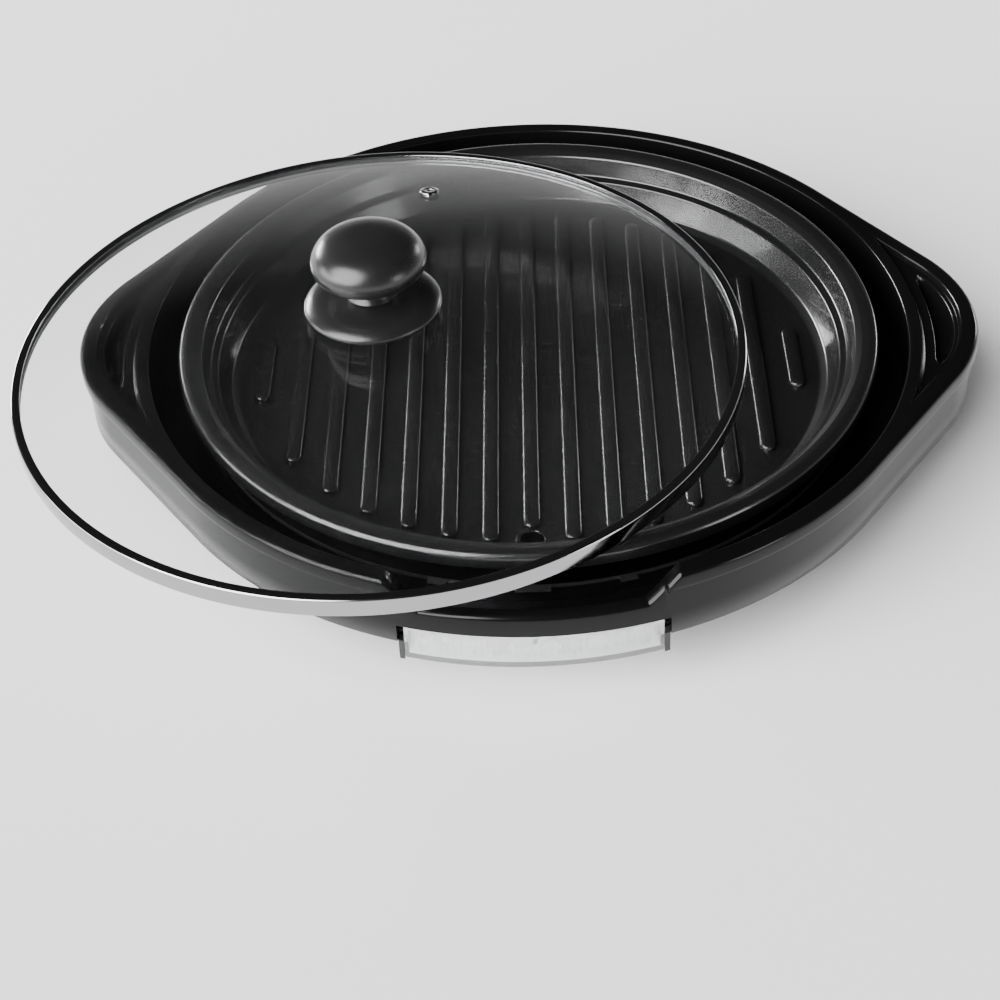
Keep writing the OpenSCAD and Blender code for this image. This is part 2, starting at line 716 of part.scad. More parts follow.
module lid_rim_band() {
  color([0.8, 0.8, 0.82]) lid_place() difference() {
    cylinder(r = lid_r, h = band_h, $fn = 180);
    lift(band_t) cylinder(r = lid_r - band_t, h = band_h - 2 * band_t, $fn = 180);
    lift(-1) cylinder(r = band_in_r, h = band_h + 2, $fn = 180);
  }
}

module lid_seal() {
  color([0.1, 0.1, 0.1]) lid_place() lift(band_t) tube(glass_edge_r, band_in_r + 0.2, glass_edge_z - band_t);
}

module steam_vent() {
  color([0.8, 0.8, 0.82]) lid_place() vent_place() difference() {
    union() {
      lift(glass_t + 0.1) cylinder(d1 = 10, d2 = 8, h = 0.9, $fn = 32);
      lift(-0.7) cylinder(d = 5, h = glass_t + 1, $fn = 32);
      lift(-0.8) cylinder(d = 7.4, h = 0.7, $fn = 32);
    }
    lift(-3) cylinder(d = 3.4, h = 12, $fn = 32);
  }
}

module knob_disc() {
  r = knob_disc_d / 2;
  color([0.05, 0.05, 0.055]) lid_place() lift(outer_apex + washer_t) rotate_extrude() polygon([
    [3, 0], [r - 0.8, 0], [r, 0.8], [r, 1.8], [r - 6, 4.2], [r - 14, 6.6],
    [14, knob_disc_h], [3, knob_disc_h]]);
}

module knob_cap() {
  r = knob_d / 2;
  color([0.05, 0.05, 0.055]) lid_place() lift(knob_z) difference() {
    rotate_extrude() {
      translate([r - 6, 16.5]) circle(r = 6, $fn = 48);
      polygon([[0, 0], [11, 0], [10, 5], [12, 8.5], [r - 8, 10.9], [r - 4, 22],
               [r - 9, 26.5], [r - 17, 30], [0, 31.5]]);
    }
    lift(-1) cylinder(d = 9, h = 15);
  }
}

module knob_insert() {
  color([0.75, 0.62, 0.3]) lid_place() lift(knob_z) tube(4.45, 2.1, 12);
}

module knob_screw() {
  color([0.75, 0.75, 0.77]) lid_place() lift(inner_apex - 2.2) screw_up(4.2, glass_t + 20, 9, 2.6);
}

module knob_washers() {
  color([0.12, 0.12, 0.12]) lid_place() {
    lift(outer_apex) tube(12, 4, washer_t);
    lift(inner_apex - 1.2) tube(9, 2.6, washer_t);
  }
}

module screw_washer() {
  color([0.75, 0.75, 0.77]) lid_place() lift(inner_apex - 2.2) tube(8, 2.3, washer_t);
}

base_shell();
bottom_cover();
cover_screws();
rubber_feet();
foot_screws();
reflector_dish();
reflector_screws();
plate_supports();
heating_element();
element_clips();
terminal_block();
terminal_bracket();
inlet_housing();
inlet_pins();
inlet_screws();
thermal_limiter();
limiter_bracket();
thermal_fuse();
internal_wires();
earth_wire();
tray_bay();
bay_screws();
grill_plate();
drip_tray();
lid_glass();
lid_rim_band();
lid_seal();
steam_vent();
knob_cap();
knob_disc();
knob_insert();
knob_screw();
knob_washers();
screw_washer();
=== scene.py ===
# %% [markdown]
# # A round table griddle, piece by piece
# This lesson dresses an electric griddle: a black eye-shaped housing, a ribbed plate that hangs in it, a glass
# lid that rests ajar, and a clear drip tray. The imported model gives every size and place, and nothing here is
# moved away from it. Each cell makes one piece or one finish, says why it is made that way, and prints what came
# out, so a cell can be tried and changed alone.

# %% Load the frame
import math

import bmesh
import bpy
from mathutils import Matrix, Vector


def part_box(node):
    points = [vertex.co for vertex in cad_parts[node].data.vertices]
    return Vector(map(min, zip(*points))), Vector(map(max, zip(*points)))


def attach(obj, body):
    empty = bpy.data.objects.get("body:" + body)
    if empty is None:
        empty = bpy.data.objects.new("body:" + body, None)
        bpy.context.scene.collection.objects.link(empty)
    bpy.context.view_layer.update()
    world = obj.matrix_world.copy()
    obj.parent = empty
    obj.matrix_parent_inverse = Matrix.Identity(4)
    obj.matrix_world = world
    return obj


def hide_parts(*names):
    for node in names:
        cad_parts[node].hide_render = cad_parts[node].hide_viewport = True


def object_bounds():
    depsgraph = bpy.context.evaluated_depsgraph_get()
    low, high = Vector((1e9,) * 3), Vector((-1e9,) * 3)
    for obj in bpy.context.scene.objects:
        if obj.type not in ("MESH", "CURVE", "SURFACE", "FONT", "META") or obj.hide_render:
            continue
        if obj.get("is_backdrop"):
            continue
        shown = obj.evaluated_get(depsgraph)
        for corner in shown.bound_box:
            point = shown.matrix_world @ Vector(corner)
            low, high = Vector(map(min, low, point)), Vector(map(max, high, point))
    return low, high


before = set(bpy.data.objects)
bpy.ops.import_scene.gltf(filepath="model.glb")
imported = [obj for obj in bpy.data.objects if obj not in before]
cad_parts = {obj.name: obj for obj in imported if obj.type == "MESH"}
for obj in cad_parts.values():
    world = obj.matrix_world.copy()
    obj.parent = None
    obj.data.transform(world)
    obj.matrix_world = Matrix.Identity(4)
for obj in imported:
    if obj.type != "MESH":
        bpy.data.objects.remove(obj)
cad_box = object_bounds()
MM = 0.001

# %% [markdown]
# ## Sizes from the frame
# A griddle is turned round one upright axis, so most pieces need only a radius and a height. Reading them from
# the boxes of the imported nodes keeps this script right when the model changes. The alternative, typing them in
# again, would drift away from the model at the first change. All values are in millimetres, because a maker
# reads a wall of 2.2 mm more easily than 0.0022 m; they become metres where the vertices are made.

# %% Read the driving sizes
def box_mm(node):
    low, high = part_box(node)
    return [v / MM for v in low], [v / MM for v in high]


shell_low, shell_high = box_mm("base_shell")
plate_high = box_mm("grill_plate")[1]
tray_low, tray_high = box_mm("drip_tray")
band_low, band_high = box_mm("lid_rim_band")
base_top = shell_high[2]
skirt_z = shell_low[2]
base_r = shell_high[1]
handle_reach = shell_high[0]
plate_r = plate_high[0]
rim_z = plate_high[2]
well_r = plate_r + 14
print(f"housing {2 * handle_reach:.0f} mm over the handles, plate {2 * plate_r:.0f} mm, rim at {rim_z:.0f} mm")

# %% [markdown]
# ## Two small tools for turned pieces
# A lathe needs a half section and an axis. `rounded` softens the corners of a section with short curves, as a
# mould maker breaks every edge, because a perfectly sharp edge never catches the light. `lathe` then turns the
# section. Blender's Screw modifier could do the same, but a ring-by-ring mesh closes its poles cleanly and needs
# nothing applied afterwards.

# %% Section and lathe
def rounded(corners, steps=4):
    """A closed section from (r, z, radius) corners, each corner replaced by a short curve."""
    section = []
    count = len(corners)
    for i, (x, z, radius) in enumerate(corners):
        here = Vector((x, z))
        if radius == 0:
            section.append(here)
            continue
        before = Vector(corners[i - 1][:2]) - here
        after = Vector(corners[(i + 1) % count][:2]) - here
        half = before.angle(after) / 2
        reach = min(radius / math.tan(half), 0.46 * before.length, 0.46 * after.length)
        start = here + before.normalized() * reach
        end = here + after.normalized() * reach
        for k in range(steps + 1):
            t = k / steps
            section.append((1 - t) ** 2 * start + 2 * t * (1 - t) * here + t ** 2 * end)
    return section


def lathe(section, steps=192):
    """Turns a closed (r, z) section in millimetres round the Z axis into a closed mesh."""
    bm = bmesh.new()
    turns = [(math.cos(math.tau * k / steps), math.sin(math.tau * k / steps)) for k in range(steps)]
    rings = []
    for r, z in section:
        around = turns if r > 1e-4 else turns[:1]
        rings.append([bm.verts.new((r * c * MM, r * s * MM, z * MM)) for c, s in around])
    for low, high in zip(rings, rings[1:] + rings[:1]):
        for k in range(steps):
            nxt = (k + 1) % steps
            corners = [low[k % len(low)], low[nxt % len(low)], high[nxt % len(high)], high[k % len(high)]]
            corners = list(dict.fromkeys(corners))
            if len(corners) > 2:
                bm.faces.new(corners)
    bmesh.ops.recalc_face_normals(bm, faces=bm.faces)
    return bm


trial = rounded([(0, 0, 0), (10, 0, 1), (10, 5, 1), (0, 5, 0)])
print("a trial section with two soft corners has", len(trial), "points")

# %% [markdown]
# ## Putting a piece into the scene
# Every piece ends the same way: its mesh gets a finish, it rides on the body that carries it, and it stands for
# the plain node it replaces. Shading is smooth with sharp edges kept above an angle, which gives long soft
# highlights on the curves and crisp lines on real edges. A subdivision surface would blur both.

# %% Finish a piece
soft_limit = 32


def mesh_object(name, bm):
    mesh = bpy.data.meshes.new(name)
    bm.to_mesh(mesh)
    bm.free()
    obj = bpy.data.objects.new(name, mesh)
    bpy.context.scene.collection.objects.link(obj)
    return obj


def baked(obj, name):
    """The object with its modifiers worked in, as a plain mesh under a new name."""
    graph = bpy.context.evaluated_depsgraph_get()
    mesh = bpy.data.meshes.new_from_object(obj.evaluated_get(graph))
    mesh.name = name
    plain = bpy.data.objects.new(name, mesh)
    bpy.context.scene.collection.objects.link(plain)
    bpy.data.objects.remove(obj)
    return plain


def fit_out(obj, material, body, slot, *nodes, angle=soft_limit):
    """Gives a finished mesh its material, its body, and the nodes it stands for."""
    obj.data.materials.clear()
    obj.data.materials.append(material)
    obj.data.shade_smooth()
    obj.data.set_sharp_from_angle(angle=math.radians(angle))
    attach(obj, body)
    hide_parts(*nodes)
    triangles = sum(len(p.vertices) - 2 for p in obj.data.polygons)
    print(f"{obj.name}: {triangles} triangles on {body}")
    return obj


def carve(obj, tool):
    """Cuts another closed mesh away with the exact solver, and removes that tool."""
    cut = obj.modifiers.new("cut", "BOOLEAN")
    cut.operation = "DIFFERENCE"
    cut.solver = "EXACT"
    cut.object = tool
    name = obj.name
    obj.name = name + "_raw"
    result = baked(obj, name)
    bpy.data.objects.remove(tool)
    return result


print("pieces are shaded smooth, with sharp edges kept above", soft_limit, "degrees unless told otherwise")

# %% [markdown]
# ## Finishes shared by many materials
# Moulded plastic, coated metal and glass are never perfectly even. One node group makes a fine grain: it gives a
# roughness that wavers round its middle value, and a height for a Bump node. A second group lays a faint film of
# dust or handling marks, as a mask that lightens a colour. Building them once means that every surface gets the
# same kind of life at its own scale, and a change in one place reaches all of them.

# %% Node group tools
def group(name, inputs, outputs):
    """An empty shader group with named sockets: returns the tree, its input node and its output node."""
    tree = bpy.data.node_groups.new(name, "ShaderNodeTree")
    for label, kind, value in inputs:
        socket = tree.interface.new_socket(label, in_out="INPUT", socket_type=kind)
        if value is not None:
            socket.default_value = value
    for label, kind in outputs:
        tree.interface.new_socket(label, in_out="OUTPUT", socket_type=kind)
    return tree, tree.nodes.new("NodeGroupInput"), tree.nodes.new("NodeGroupOutput")


def math_node(tree, operation, a, b=None, c=None, clamp=False):
    node = tree.nodes.new("ShaderNodeMath")
    node.operation = operation
    node.use_clamp = clamp
    for socket, value in zip(node.inputs, (a, b, c)):
        if value is None:
            continue
        if isinstance(value, (int, float)):
            socket.default_value = value
        else:
            tree.links.new(value, socket)
    return node.outputs[0]


def noise_node(tree, vector, scale, detail=2.0, rough=0.5):
    node = tree.nodes.new("ShaderNodeTexNoise")
    tree.links.new(vector, node.inputs["Vector"])
    if isinstance(scale, (int, float)):
        node.inputs["Scale"].default_value = scale
    else:
        tree.links.new(scale, node.inputs["Scale"])
    node.inputs["Detail"].default_value = detail
    node.inputs["Roughness"].default_value = rough
    return node.outputs["Fac"]


print("helpers for shader groups are ready")

# %% [markdown]
# A broad noise and a very fine one are mixed. The broad one shifts the shine from place to place, as on any
# moulding that cooled unevenly; the fine one alone gives the height of the surface grain.

# %% Fine grain
grain_tree, g_in, g_out = group("fine_grain", [
    ("Position", "NodeSocketVector", None), ("Grain scale", "NodeSocketFloat", 900.0),
    ("Roughness", "NodeSocketFloat", 0.3), ("Waver", "NodeSocketFloat", 0.1)],
    [("Roughness", "NodeSocketFloat"), ("Height", "NodeSocketFloat")])
coarse = noise_node(grain_tree, g_in.outputs["Position"], 14.0, 3.0)
fine = noise_node(grain_tree, g_in.outputs["Position"], g_in.outputs["Grain scale"], 2.0)
mixed = math_node(grain_tree, "ADD", math_node(grain_tree, "MULTIPLY", coarse, 0.6),
                  math_node(grain_tree, "MULTIPLY", fine, 0.4))
swing = math_node(grain_tree, "MULTIPLY", math_node(grain_tree, "SUBTRACT", mixed, 0.5), g_in.outputs["Waver"])
grain_tree.links.new(math_node(grain_tree, "ADD", g_in.outputs["Roughness"], swing, clamp=True),
                     g_out.inputs["Roughness"])
grain_tree.links.new(fine, g_out.inputs["Height"])
print("fine_grain", len(grain_tree.nodes), "nodes")

# %% [markdown]
# The film is a soft cloud with a few specks in it. It only ever moves a colour a little way towards a dusty
# grey, so a clean surface stays clean and still isn't one flat colour.

# %% Handling film
film_tree, f_in, f_out = group("handling_film", [
    ("Position", "NodeSocketVector", None), ("Colour", "NodeSocketColor", (0.1, 0.1, 0.1, 1)),
    ("Film colour", "NodeSocketColor", (0.5, 0.5, 0.5, 1)), ("Amount", "NodeSocketFloat", 0.05)],
    [("Colour", "NodeSocketColor")])
cloud = noise_node(film_tree, f_in.outputs["Position"], 9.0, 5.0, 0.6)
specks = noise_node(film_tree, f_in.outputs["Position"], 420.0, 1.0)
speck_mask = math_node(film_tree, "GREATER_THAN", specks, 0.71)
cloud_mask = math_node(film_tree, "MULTIPLY", math_node(film_tree, "SUBTRACT", cloud, 0.42, clamp=True), 1.6)
film_mask = math_node(film_tree, "ADD", cloud_mask, math_node(film_tree, "MULTIPLY", speck_mask, 0.5), clamp=True)
film_mask = math_node(film_tree, "MULTIPLY", film_mask, f_in.outputs["Amount"], clamp=True)
film_mix = film_tree.nodes.new("ShaderNodeMix")
film_mix.data_type = "RGBA"
film_tree.links.new(film_mask, film_mix.inputs["Factor"])
film_tree.links.new(f_in.outputs["Colour"], film_mix.inputs[6])
film_tree.links.new(f_in.outputs["Film colour"], film_mix.inputs[7])
film_tree.links.new(film_mix.outputs[2], f_out.inputs["Colour"])
print("handling_film", len(film_tree.nodes), "nodes")


# %% [markdown]
# ## One recipe for every solid finish
# Plastic, rubber, ceramic, steel and brass differ in colour, shine, grain and metal, but they are built alike:
# object coordinates feed the two groups, the groups feed the colour, the roughness and a Bump node. Constant
# values, such as the coat, sit on the shader's own sockets. Separate hand-wired materials would be longer and
# would slowly stop matching each other.

# %% Solid finish
def finish(name, colour, roughness, waver=0.08, grain=900.0, bump=0.04, film=0.04, film_colour=0.35,
           metal=0.0, coat=0.0, shine=0.5, stretch=(1, 1, 1)):
    material = bpy.data.materials.new(name)
    material.use_nodes = True
    tree = material.node_tree
    shader = tree.nodes["Principled BSDF"]
    place = tree.nodes.new("ShaderNodeTexCoord")
    mapping = tree.nodes.new("ShaderNodeMapping")
    mapping.inputs["Scale"].default_value = stretch
    tree.links.new(place.outputs["Object"], mapping.inputs["Vector"])
    grain_node = tree.nodes.new("ShaderNodeGroup")
    grain_node.node_tree = grain_tree
    grain_node.inputs["Grain scale"].default_value = grain
    grain_node.inputs["Roughness"].default_value = roughness
    grain_node.inputs["Waver"].default_value = waver
    film_node = tree.nodes.new("ShaderNodeGroup")
    film_node.node_tree = film_tree
    film_node.inputs["Colour"].default_value = (*colour, 1)
    film_node.inputs["Film colour"].default_value = (film_colour, film_colour, film_colour, 1)
    film_node.inputs["Amount"].default_value = film
    tree.links.new(mapping.outputs["Vector"], grain_node.inputs["Position"])
    tree.links.new(place.outputs["Object"], film_node.inputs["Position"])
    bump_node = tree.nodes.new("ShaderNodeBump")
    bump_node.inputs["Strength"].default_value = bump
    bump_node.inputs["Distance"].default_value = 0.0004
    tree.links.new(grain_node.outputs["Height"], bump_node.inputs["Height"])
    tree.links.new(film_node.outputs["Colour"], shader.inputs["Base Color"])
    tree.links.new(grain_node.outputs["Roughness"], shader.inputs["Roughness"])
    tree.links.new(bump_node.outputs["Normal"], shader.inputs["Normal"])
    shader.inputs["Metallic"].default_value = metal
    shader.inputs["Coat Weight"].default_value = coat
    shader.inputs["Coat Roughness"].default_value = 0.06
    shader.inputs["Specular IOR Level"].default_value = shine
    return material


housing_black = finish("housing_gloss_black", (0.0025, 0.0025, 0.0027), 0.15, 0.10, 1500, 0.04, 0.006, shine=0.2)
matt_black = finish("underside_matt_black", (0.018, 0.018, 0.019), 0.52, 0.15, 2600, 0.35, 0.08)
coating = finish("nonstick_coating", (0.0045, 0.0045, 0.0048), 0.25, 0.10, 3200, 0.035, 0.015, 0.3, coat=0.3)
knob_black = finish("knob_satin_black", (0.009, 0.009, 0.0095), 0.26, 0.10, 2200, 0.10, 0.02)
inlet_black = finish("inlet_phenolic", (0.022, 0.019, 0.018), 0.42, 0.10, 1800, 0.15, 0.05)
foot_rubber = finish("foot_rubber", (0.017, 0.017, 0.017), 0.75, 0.15, 1500, 0.30, 0.15)
seal_rubber = finish("seal_silicone", (0.04, 0.04, 0.042), 0.5, 0.12, 1200, 0.12, 0.06)
band_steel = finish("polished_band_steel", (0.36, 0.36, 0.37), 0.12, 0.08, 700, 0.02, 0.02, 0.5, 1.0,
                    stretch=(1, 1, 24))
# painted shade: the reflector's dark base colour stands in for the shade in the deep gap under the plate
dish_shade_steel = finish("painted_shade_sheet", (0.17, 0.17, 0.175), 0.3, 0.14, 900, 0.04, 0.05, 0.3, 1.0,
                    stretch=(1, 1, 8))
bright_steel = finish("zinc_plated_sheet", (0.64, 0.64, 0.65), 0.27, 0.18, 700, 0.08, 0.05, 0.45, 1.0)
screw_steel = finish("zinc_screw_steel", (0.58, 0.58, 0.57), 0.3, 0.2, 1400, 0.08, 0.10, 0.3, 1.0)
tube_steel = finish("heat_tinted_tube", (0.17, 0.15, 0.14), 0.42, 0.25, 900, 0.15, 0.25, 0.09, 0.9)
pin_nickel = finish("nickel_pins", (0.72, 0.71, 0.68), 0.18, 0.12, 1500, 0.04, 0.03, 0.5, 1.0)
insert_brass = finish("brass_insert", (0.72, 0.53, 0.22), 0.28, 0.15, 1500, 0.06, 0.08, 0.3, 1.0)
ceramic = finish("white_ceramic", (0.78, 0.75, 0.68), 0.55, 0.15, 1700, 0.12, 0.10, 0.45)
sleeve = finish("glass_fibre_sleeve", (0.62, 0.57, 0.46), 0.8, 0.15, 5200, 0.8, 0.12, 0.35)
earth_green = finish("earth_wire_green", (0.16, 0.34, 0.06), 0.45, 0.1, 2500, 0.2, 0.05)
print("solid finishes:", len([m for m in bpy.data.materials if m.use_nodes]))


# %% [markdown]
# ## Clear finishes
# The lid is toughened glass and the tray is clear moulded plastic with a light frost inside. Both use the
# transmission of the Principled shader. Real glass lets light through onto what lies beneath, but a path tracer
# finds that light too rarely, so a Light Path node makes the glass plainly transparent to shadow rays. The film
# group keeps both from looking like empty air.

# %% Clear materials
def clear_finish(name, colour, roughness, waver, ior, grain, bump, shadow, clear=1.0):
    material = bpy.data.materials.new(name)
    material.use_nodes = True
    tree = material.node_tree
    shader = tree.nodes["Principled BSDF"]
    shader.inputs["Transmission Weight"].default_value = clear
    shader.inputs["IOR"].default_value = ior
    place = tree.nodes.new("ShaderNodeTexCoord")
    grain_node = tree.nodes.new("ShaderNodeGroup")
    grain_node.node_tree = grain_tree
    grain_node.inputs["Grain scale"].default_value = grain
    grain_node.inputs["Roughness"].default_value = roughness
    grain_node.inputs["Waver"].default_value = waver
    film_node = tree.nodes.new("ShaderNodeGroup")
    film_node.node_tree = film_tree
    film_node.inputs["Colour"].default_value = (*colour, 1)
    film_node.inputs["Film colour"].default_value = (0.9, 0.9, 0.9, 1)
    film_node.inputs["Amount"].default_value = 0.05
    bump_node = tree.nodes.new("ShaderNodeBump")
    bump_node.inputs["Strength"].default_value = bump
    bump_node.inputs["Distance"].default_value = 0.0003
    tree.links.new(place.outputs["Object"], grain_node.inputs["Position"])
    tree.links.new(place.outputs["Object"], film_node.inputs["Position"])
    tree.links.new(film_node.outputs["Colour"], shader.inputs["Base Color"])
    tree.links.new(grain_node.outputs["Roughness"], shader.inputs["Roughness"])
    tree.links.new(grain_node.outputs["Height"], bump_node.inputs["Height"])
    tree.links.new(bump_node.outputs["Normal"], shader.inputs["Normal"])
    see_through = tree.nodes.new("ShaderNodeBsdfTransparent")
    see_through.inputs["Color"].default_value = (shadow, shadow, shadow, 1)
    ray = tree.nodes.new("ShaderNodeLightPath")
    blend = tree.nodes.new("ShaderNodeMixShader")
    tree.links.new(ray.outputs["Is Shadow Ray"], blend.inputs["Fac"])
    tree.links.new(shader.outputs["BSDF"], blend.inputs[1])
    tree.links.new(see_through.outputs["BSDF"], blend.inputs[2])
    tree.links.new(blend.outputs["Shader"], tree.nodes["Material Output"].inputs["Surface"])
    return material


lid_glass = clear_finish("lid_clear_glass", (0.985, 0.995, 0.99), 0.0, 0.015, 1.5, 500, 0.01, 0.9)
tray_plastic = clear_finish("tray_frosted_plastic", (0.95, 0.96, 0.97), 0.12, 0.1, 1.45, 1500, 0.12, 0.85, 0.9)
print("clear finishes:", lid_glass.name, tray_plastic.name)

# %% [markdown]
# ## Reflector with painted shade
# The reflector is painted dark as painted shade for the deep gap under the plate, while the little tabs that
# stand up from its rim keep their bright zinc.
# The height of a point tells the two apart, so one material can serve the whole stamping.

# %% Bright tabs on the reflector
tree = dish_shade_steel.node_tree
place = tree.nodes["Texture Coordinate"]
height = tree.nodes.new("ShaderNodeSeparateXYZ")
tree.links.new(place.outputs["Object"], height.inputs[0])
# below this height the reflector keeps its painted shade; the tabs above get their own bright zinc colour
tab_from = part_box("reflector_dish")[1][2] - 1.6 * MM
unshaded_tab_mask = math_node(tree, "GREATER_THAN", height.outputs["Z"], tab_from)
tab_or_shade_mix = tree.nodes.new("ShaderNodeMix")
tab_or_shade_mix.data_type = "RGBA"
tree.links.new(unshaded_tab_mask, tab_or_shade_mix.inputs["Factor"])
tree.links.new(tree.nodes["Group.001"].outputs["Colour"], tab_or_shade_mix.inputs[6])
tab_or_shade_mix.inputs[7].default_value = (0.8, 0.8, 0.81, 1)
tree.links.new(tab_or_shade_mix.outputs[2], tree.nodes["Principled BSDF"].inputs["Base Color"])
print("tabs above", round(tab_from / MM, 1), "mm are bright")

# %% [markdown]
# ## The housing
# The housing is one moulding: a round body with two pointed wings for handles, a rolled outer edge, a sunken
# crescent and a finger hollow in each wing, and a notch at the front. Booleans and bevels would leave ragged
# shading where the crescents run out to points. Instead the wall is drawn as a section that changes with the
# direction: every column of the mesh is one section, and its corners follow the outline, the crescents and the
# notch. The outline itself is a circle, two tip circles and the straight lines that touch both.

# %% Outline of the housing
handle_tip_r = 83
tip_x = handle_reach - handle_tip_r
tangent = math.acos((base_r - handle_tip_r) / tip_x)


def outline(angle, grow=0.0):
    """Distance from the middle to the outline in a direction, for the outline grown by some millimetres."""
    a = abs((angle + math.pi / 2) % math.pi - math.pi / 2)
    tip = handle_tip_r + grow
    touch = math.atan2(tip * math.sin(tangent), tip_x + tip * math.cos(tangent))
    if a >= tangent:
        return base_r + grow
    if a >= touch:
        return (base_r + grow) / math.cos(a - tangent)
    return tip_x * math.cos(a) + math.sqrt(tip ** 2 - (tip_x * math.sin(a)) ** 2)


def ease(t):
    t = min(max(t, 0.0), 1.0)
    return t * t * (3 - 2 * t)


print(f"wings start {math.degrees(tangent):.1f} degrees from the long axis, tip {outline(0):.0f} mm out")

# %% [markdown]
# The top skin is flat but for its details. Each is a depth that eases in over a short distance: the crescent,
# the finger hollow inside it with rounded ends, and the notch, whose sides slope.

# %% Heights of the top skin
rolled_edge = 8.5
inner_lip = 6
handle_sink = 3
hollow_drop = 6
hollow_half = 39
hollow_corner = 8
hollow_in_gap = 6.5
hollow_out_gap = 2.5
sink_run = 1.5
hollow_run = 3.5
notch_drop = 14.5
notch_half = 49
notch_flare = 14
edge_round = 3.2
lip_round = 1.6
bead_h = 8
bead_step = 2


def notch_depth(x, y):
    if y > 0:
        return 0.0
    t = min(max((notch_half + notch_flare - abs(x)) / notch_flare, 0.0), 1.0)
    return notch_drop * (0.7 * t + 0.3 * ease(t))


def hollow_depth(angle, r):
    side = min(r - (well_r + inner_lip + hollow_in_gap), outline(angle, -rolled_edge - hollow_out_gap) - r)
    end = hollow_half - abs(r * math.sin(angle))
    inside = hollow_corner - math.hypot(max(hollow_corner - side, 0), max(hollow_corner - end, 0))
    return hollow_drop * ease(min(inside, side, end) / hollow_run)


def top_height(angle, r):
    """Height of the top skin, before the rounding of its outer edge and of its inner lip."""
    x, y = r * math.cos(angle), r * math.sin(angle)
    sunk = min(r - well_r - inner_lip, outline(angle, -rolled_edge) - r)
    depth = handle_sink * ease(sunk / sink_run) + (hollow_depth(angle, r) if sunk > 0 else 0.0)
    return base_top - depth - notch_depth(x, y)


def skirt_step(z):
    """How far the wall steps in under the rolled edge."""
    return -bead_step * ease((base_top - bead_h + 0.5 - z) / 0.9)


print(f"crescent {handle_sink} mm deep, finger hollow {hollow_drop} mm more, notch {notch_drop} mm")

# %% [markdown]
# One section runs from the shelf inside the well, up the inner wall, over the lip, out across the skin, round
# the rolled edge, down the skirt and back inside. Every direction gives the same number of corners, so the
# columns join into a clean grid. Where the tray slides out, the skirt simply ends higher.

# %% One section of the housing
shelf_r = plate_r - 18
shelf_foot = skirt_z + 0.5
shelf_top = shelf_foot + 2.9
wall = 2.2
slot_half = tray_high[0] + 3.2
slot_top = tray_high[2] + 0.5
slot_step = 0.0002
grid_columns = 720
near = [0.03, 0.07, 0.12, 0.2, 0.3, 0.4, 0.5, 0.6, 0.7, 0.8, 0.88, 0.93, 0.97]
few = [0.12, 0.3, 0.5, 0.7, 0.88]
arc = [math.sin(math.pi / 2 * k / 5) for k in range(6)]


def ordered(first, second):
    middle = (first + second) / 2
    return (first, second) if first < second else (middle, middle)


def housing_section(angle, slotted):
    """Corners (r, z) of the wall in one direction, from the shelf up, over the edge and back inside."""
    edge_x, edge_y = base_r * math.cos(angle), base_r * math.sin(angle)
    crest = base_top - notch_depth(edge_x, edge_y)
    out_r = outline(angle, skirt_step(crest - edge_round))
    lip_r, roll_r = ordered(well_r + inner_lip, outline(angle, -rolled_edge))
    hollow_in = min(max(well_r + inner_lip + hollow_in_gap, lip_r), roll_r)
    hollow_out = min(max(outline(angle, -rolled_edge - hollow_out_gap), lip_r), roll_r)
    hollow_in, hollow_out = ordered(hollow_in, hollow_out)

    section = [(shelf_r, shelf_foot), (shelf_r, shelf_top), (well_r, shelf_top)]
    lip_z = top_height(angle, well_r + lip_round) - lip_round
    section += [(well_r, shelf_top + (lip_z - shelf_top) * t) for t in (0.01, 0.3, 0.6, 0.9)]
    section += [(well_r + lip_round * (1 - c), lip_z + lip_round * s) for s, c in zip(arc, reversed(arc))]
    stations = [well_r + lip_round + (lip_r - well_r - lip_round) * t for t in (0.4, 0.8, 1.0)]
    for start, end, steps in ((lip_r, hollow_in, few), (hollow_in, hollow_out, near), (hollow_out, roll_r, few)):
        stations += [start + (end - start) * t for t in steps] + [end]
    flat_end = out_r - edge_round
    stations += [roll_r + (flat_end - roll_r) * t for t in (0.15, 0.4, 0.7)]
    section += [(r, top_height(angle, r)) for r in stations]
    crest = top_height(angle, out_r - edge_round)
    section += [(out_r - edge_round * (1 - s), crest - edge_round * (1 - c)) for s, c in zip(arc, reversed(arc))]

    low = slot_top if slotted else skirt_z
    levels = [base_top - bead_h + t for t in (1.5, 0.6, 0.4, 0.2, 0.0, -0.2, -0.4, -0.6, -2.0)] + [46, 34]
    for z in levels:
        z = max(min(z, crest - edge_round), low + 0.4)
        section.append((outline(angle, skirt_step(z)), z))
    skirt_r = outline(angle, -bead_step)
    section += [(skirt_r - 0.4, low), (skirt_r - wall, low)]
    inner = [skirt_r - wall - (skirt_r - wall - well_r - wall) * t for t in (0.02, 0.2, 0.4, 0.6, 0.8, 0.98)]
    section += [(r, min(top_height(angle, r), crest) - wall - 0.4) for r in inner]
    section += [(well_r + wall, skirt_z), (well_r, skirt_z), (well_r, shelf_foot)]
    return section


print("a section of the wall has", len(housing_section(0, False)), "corners")

# %% [markdown]
# The sections are set round the middle every half degree, closer together where the notch slopes, and twice
# almost in one place at each side of the tray, where the wall jumps.

# %% Raise the housing

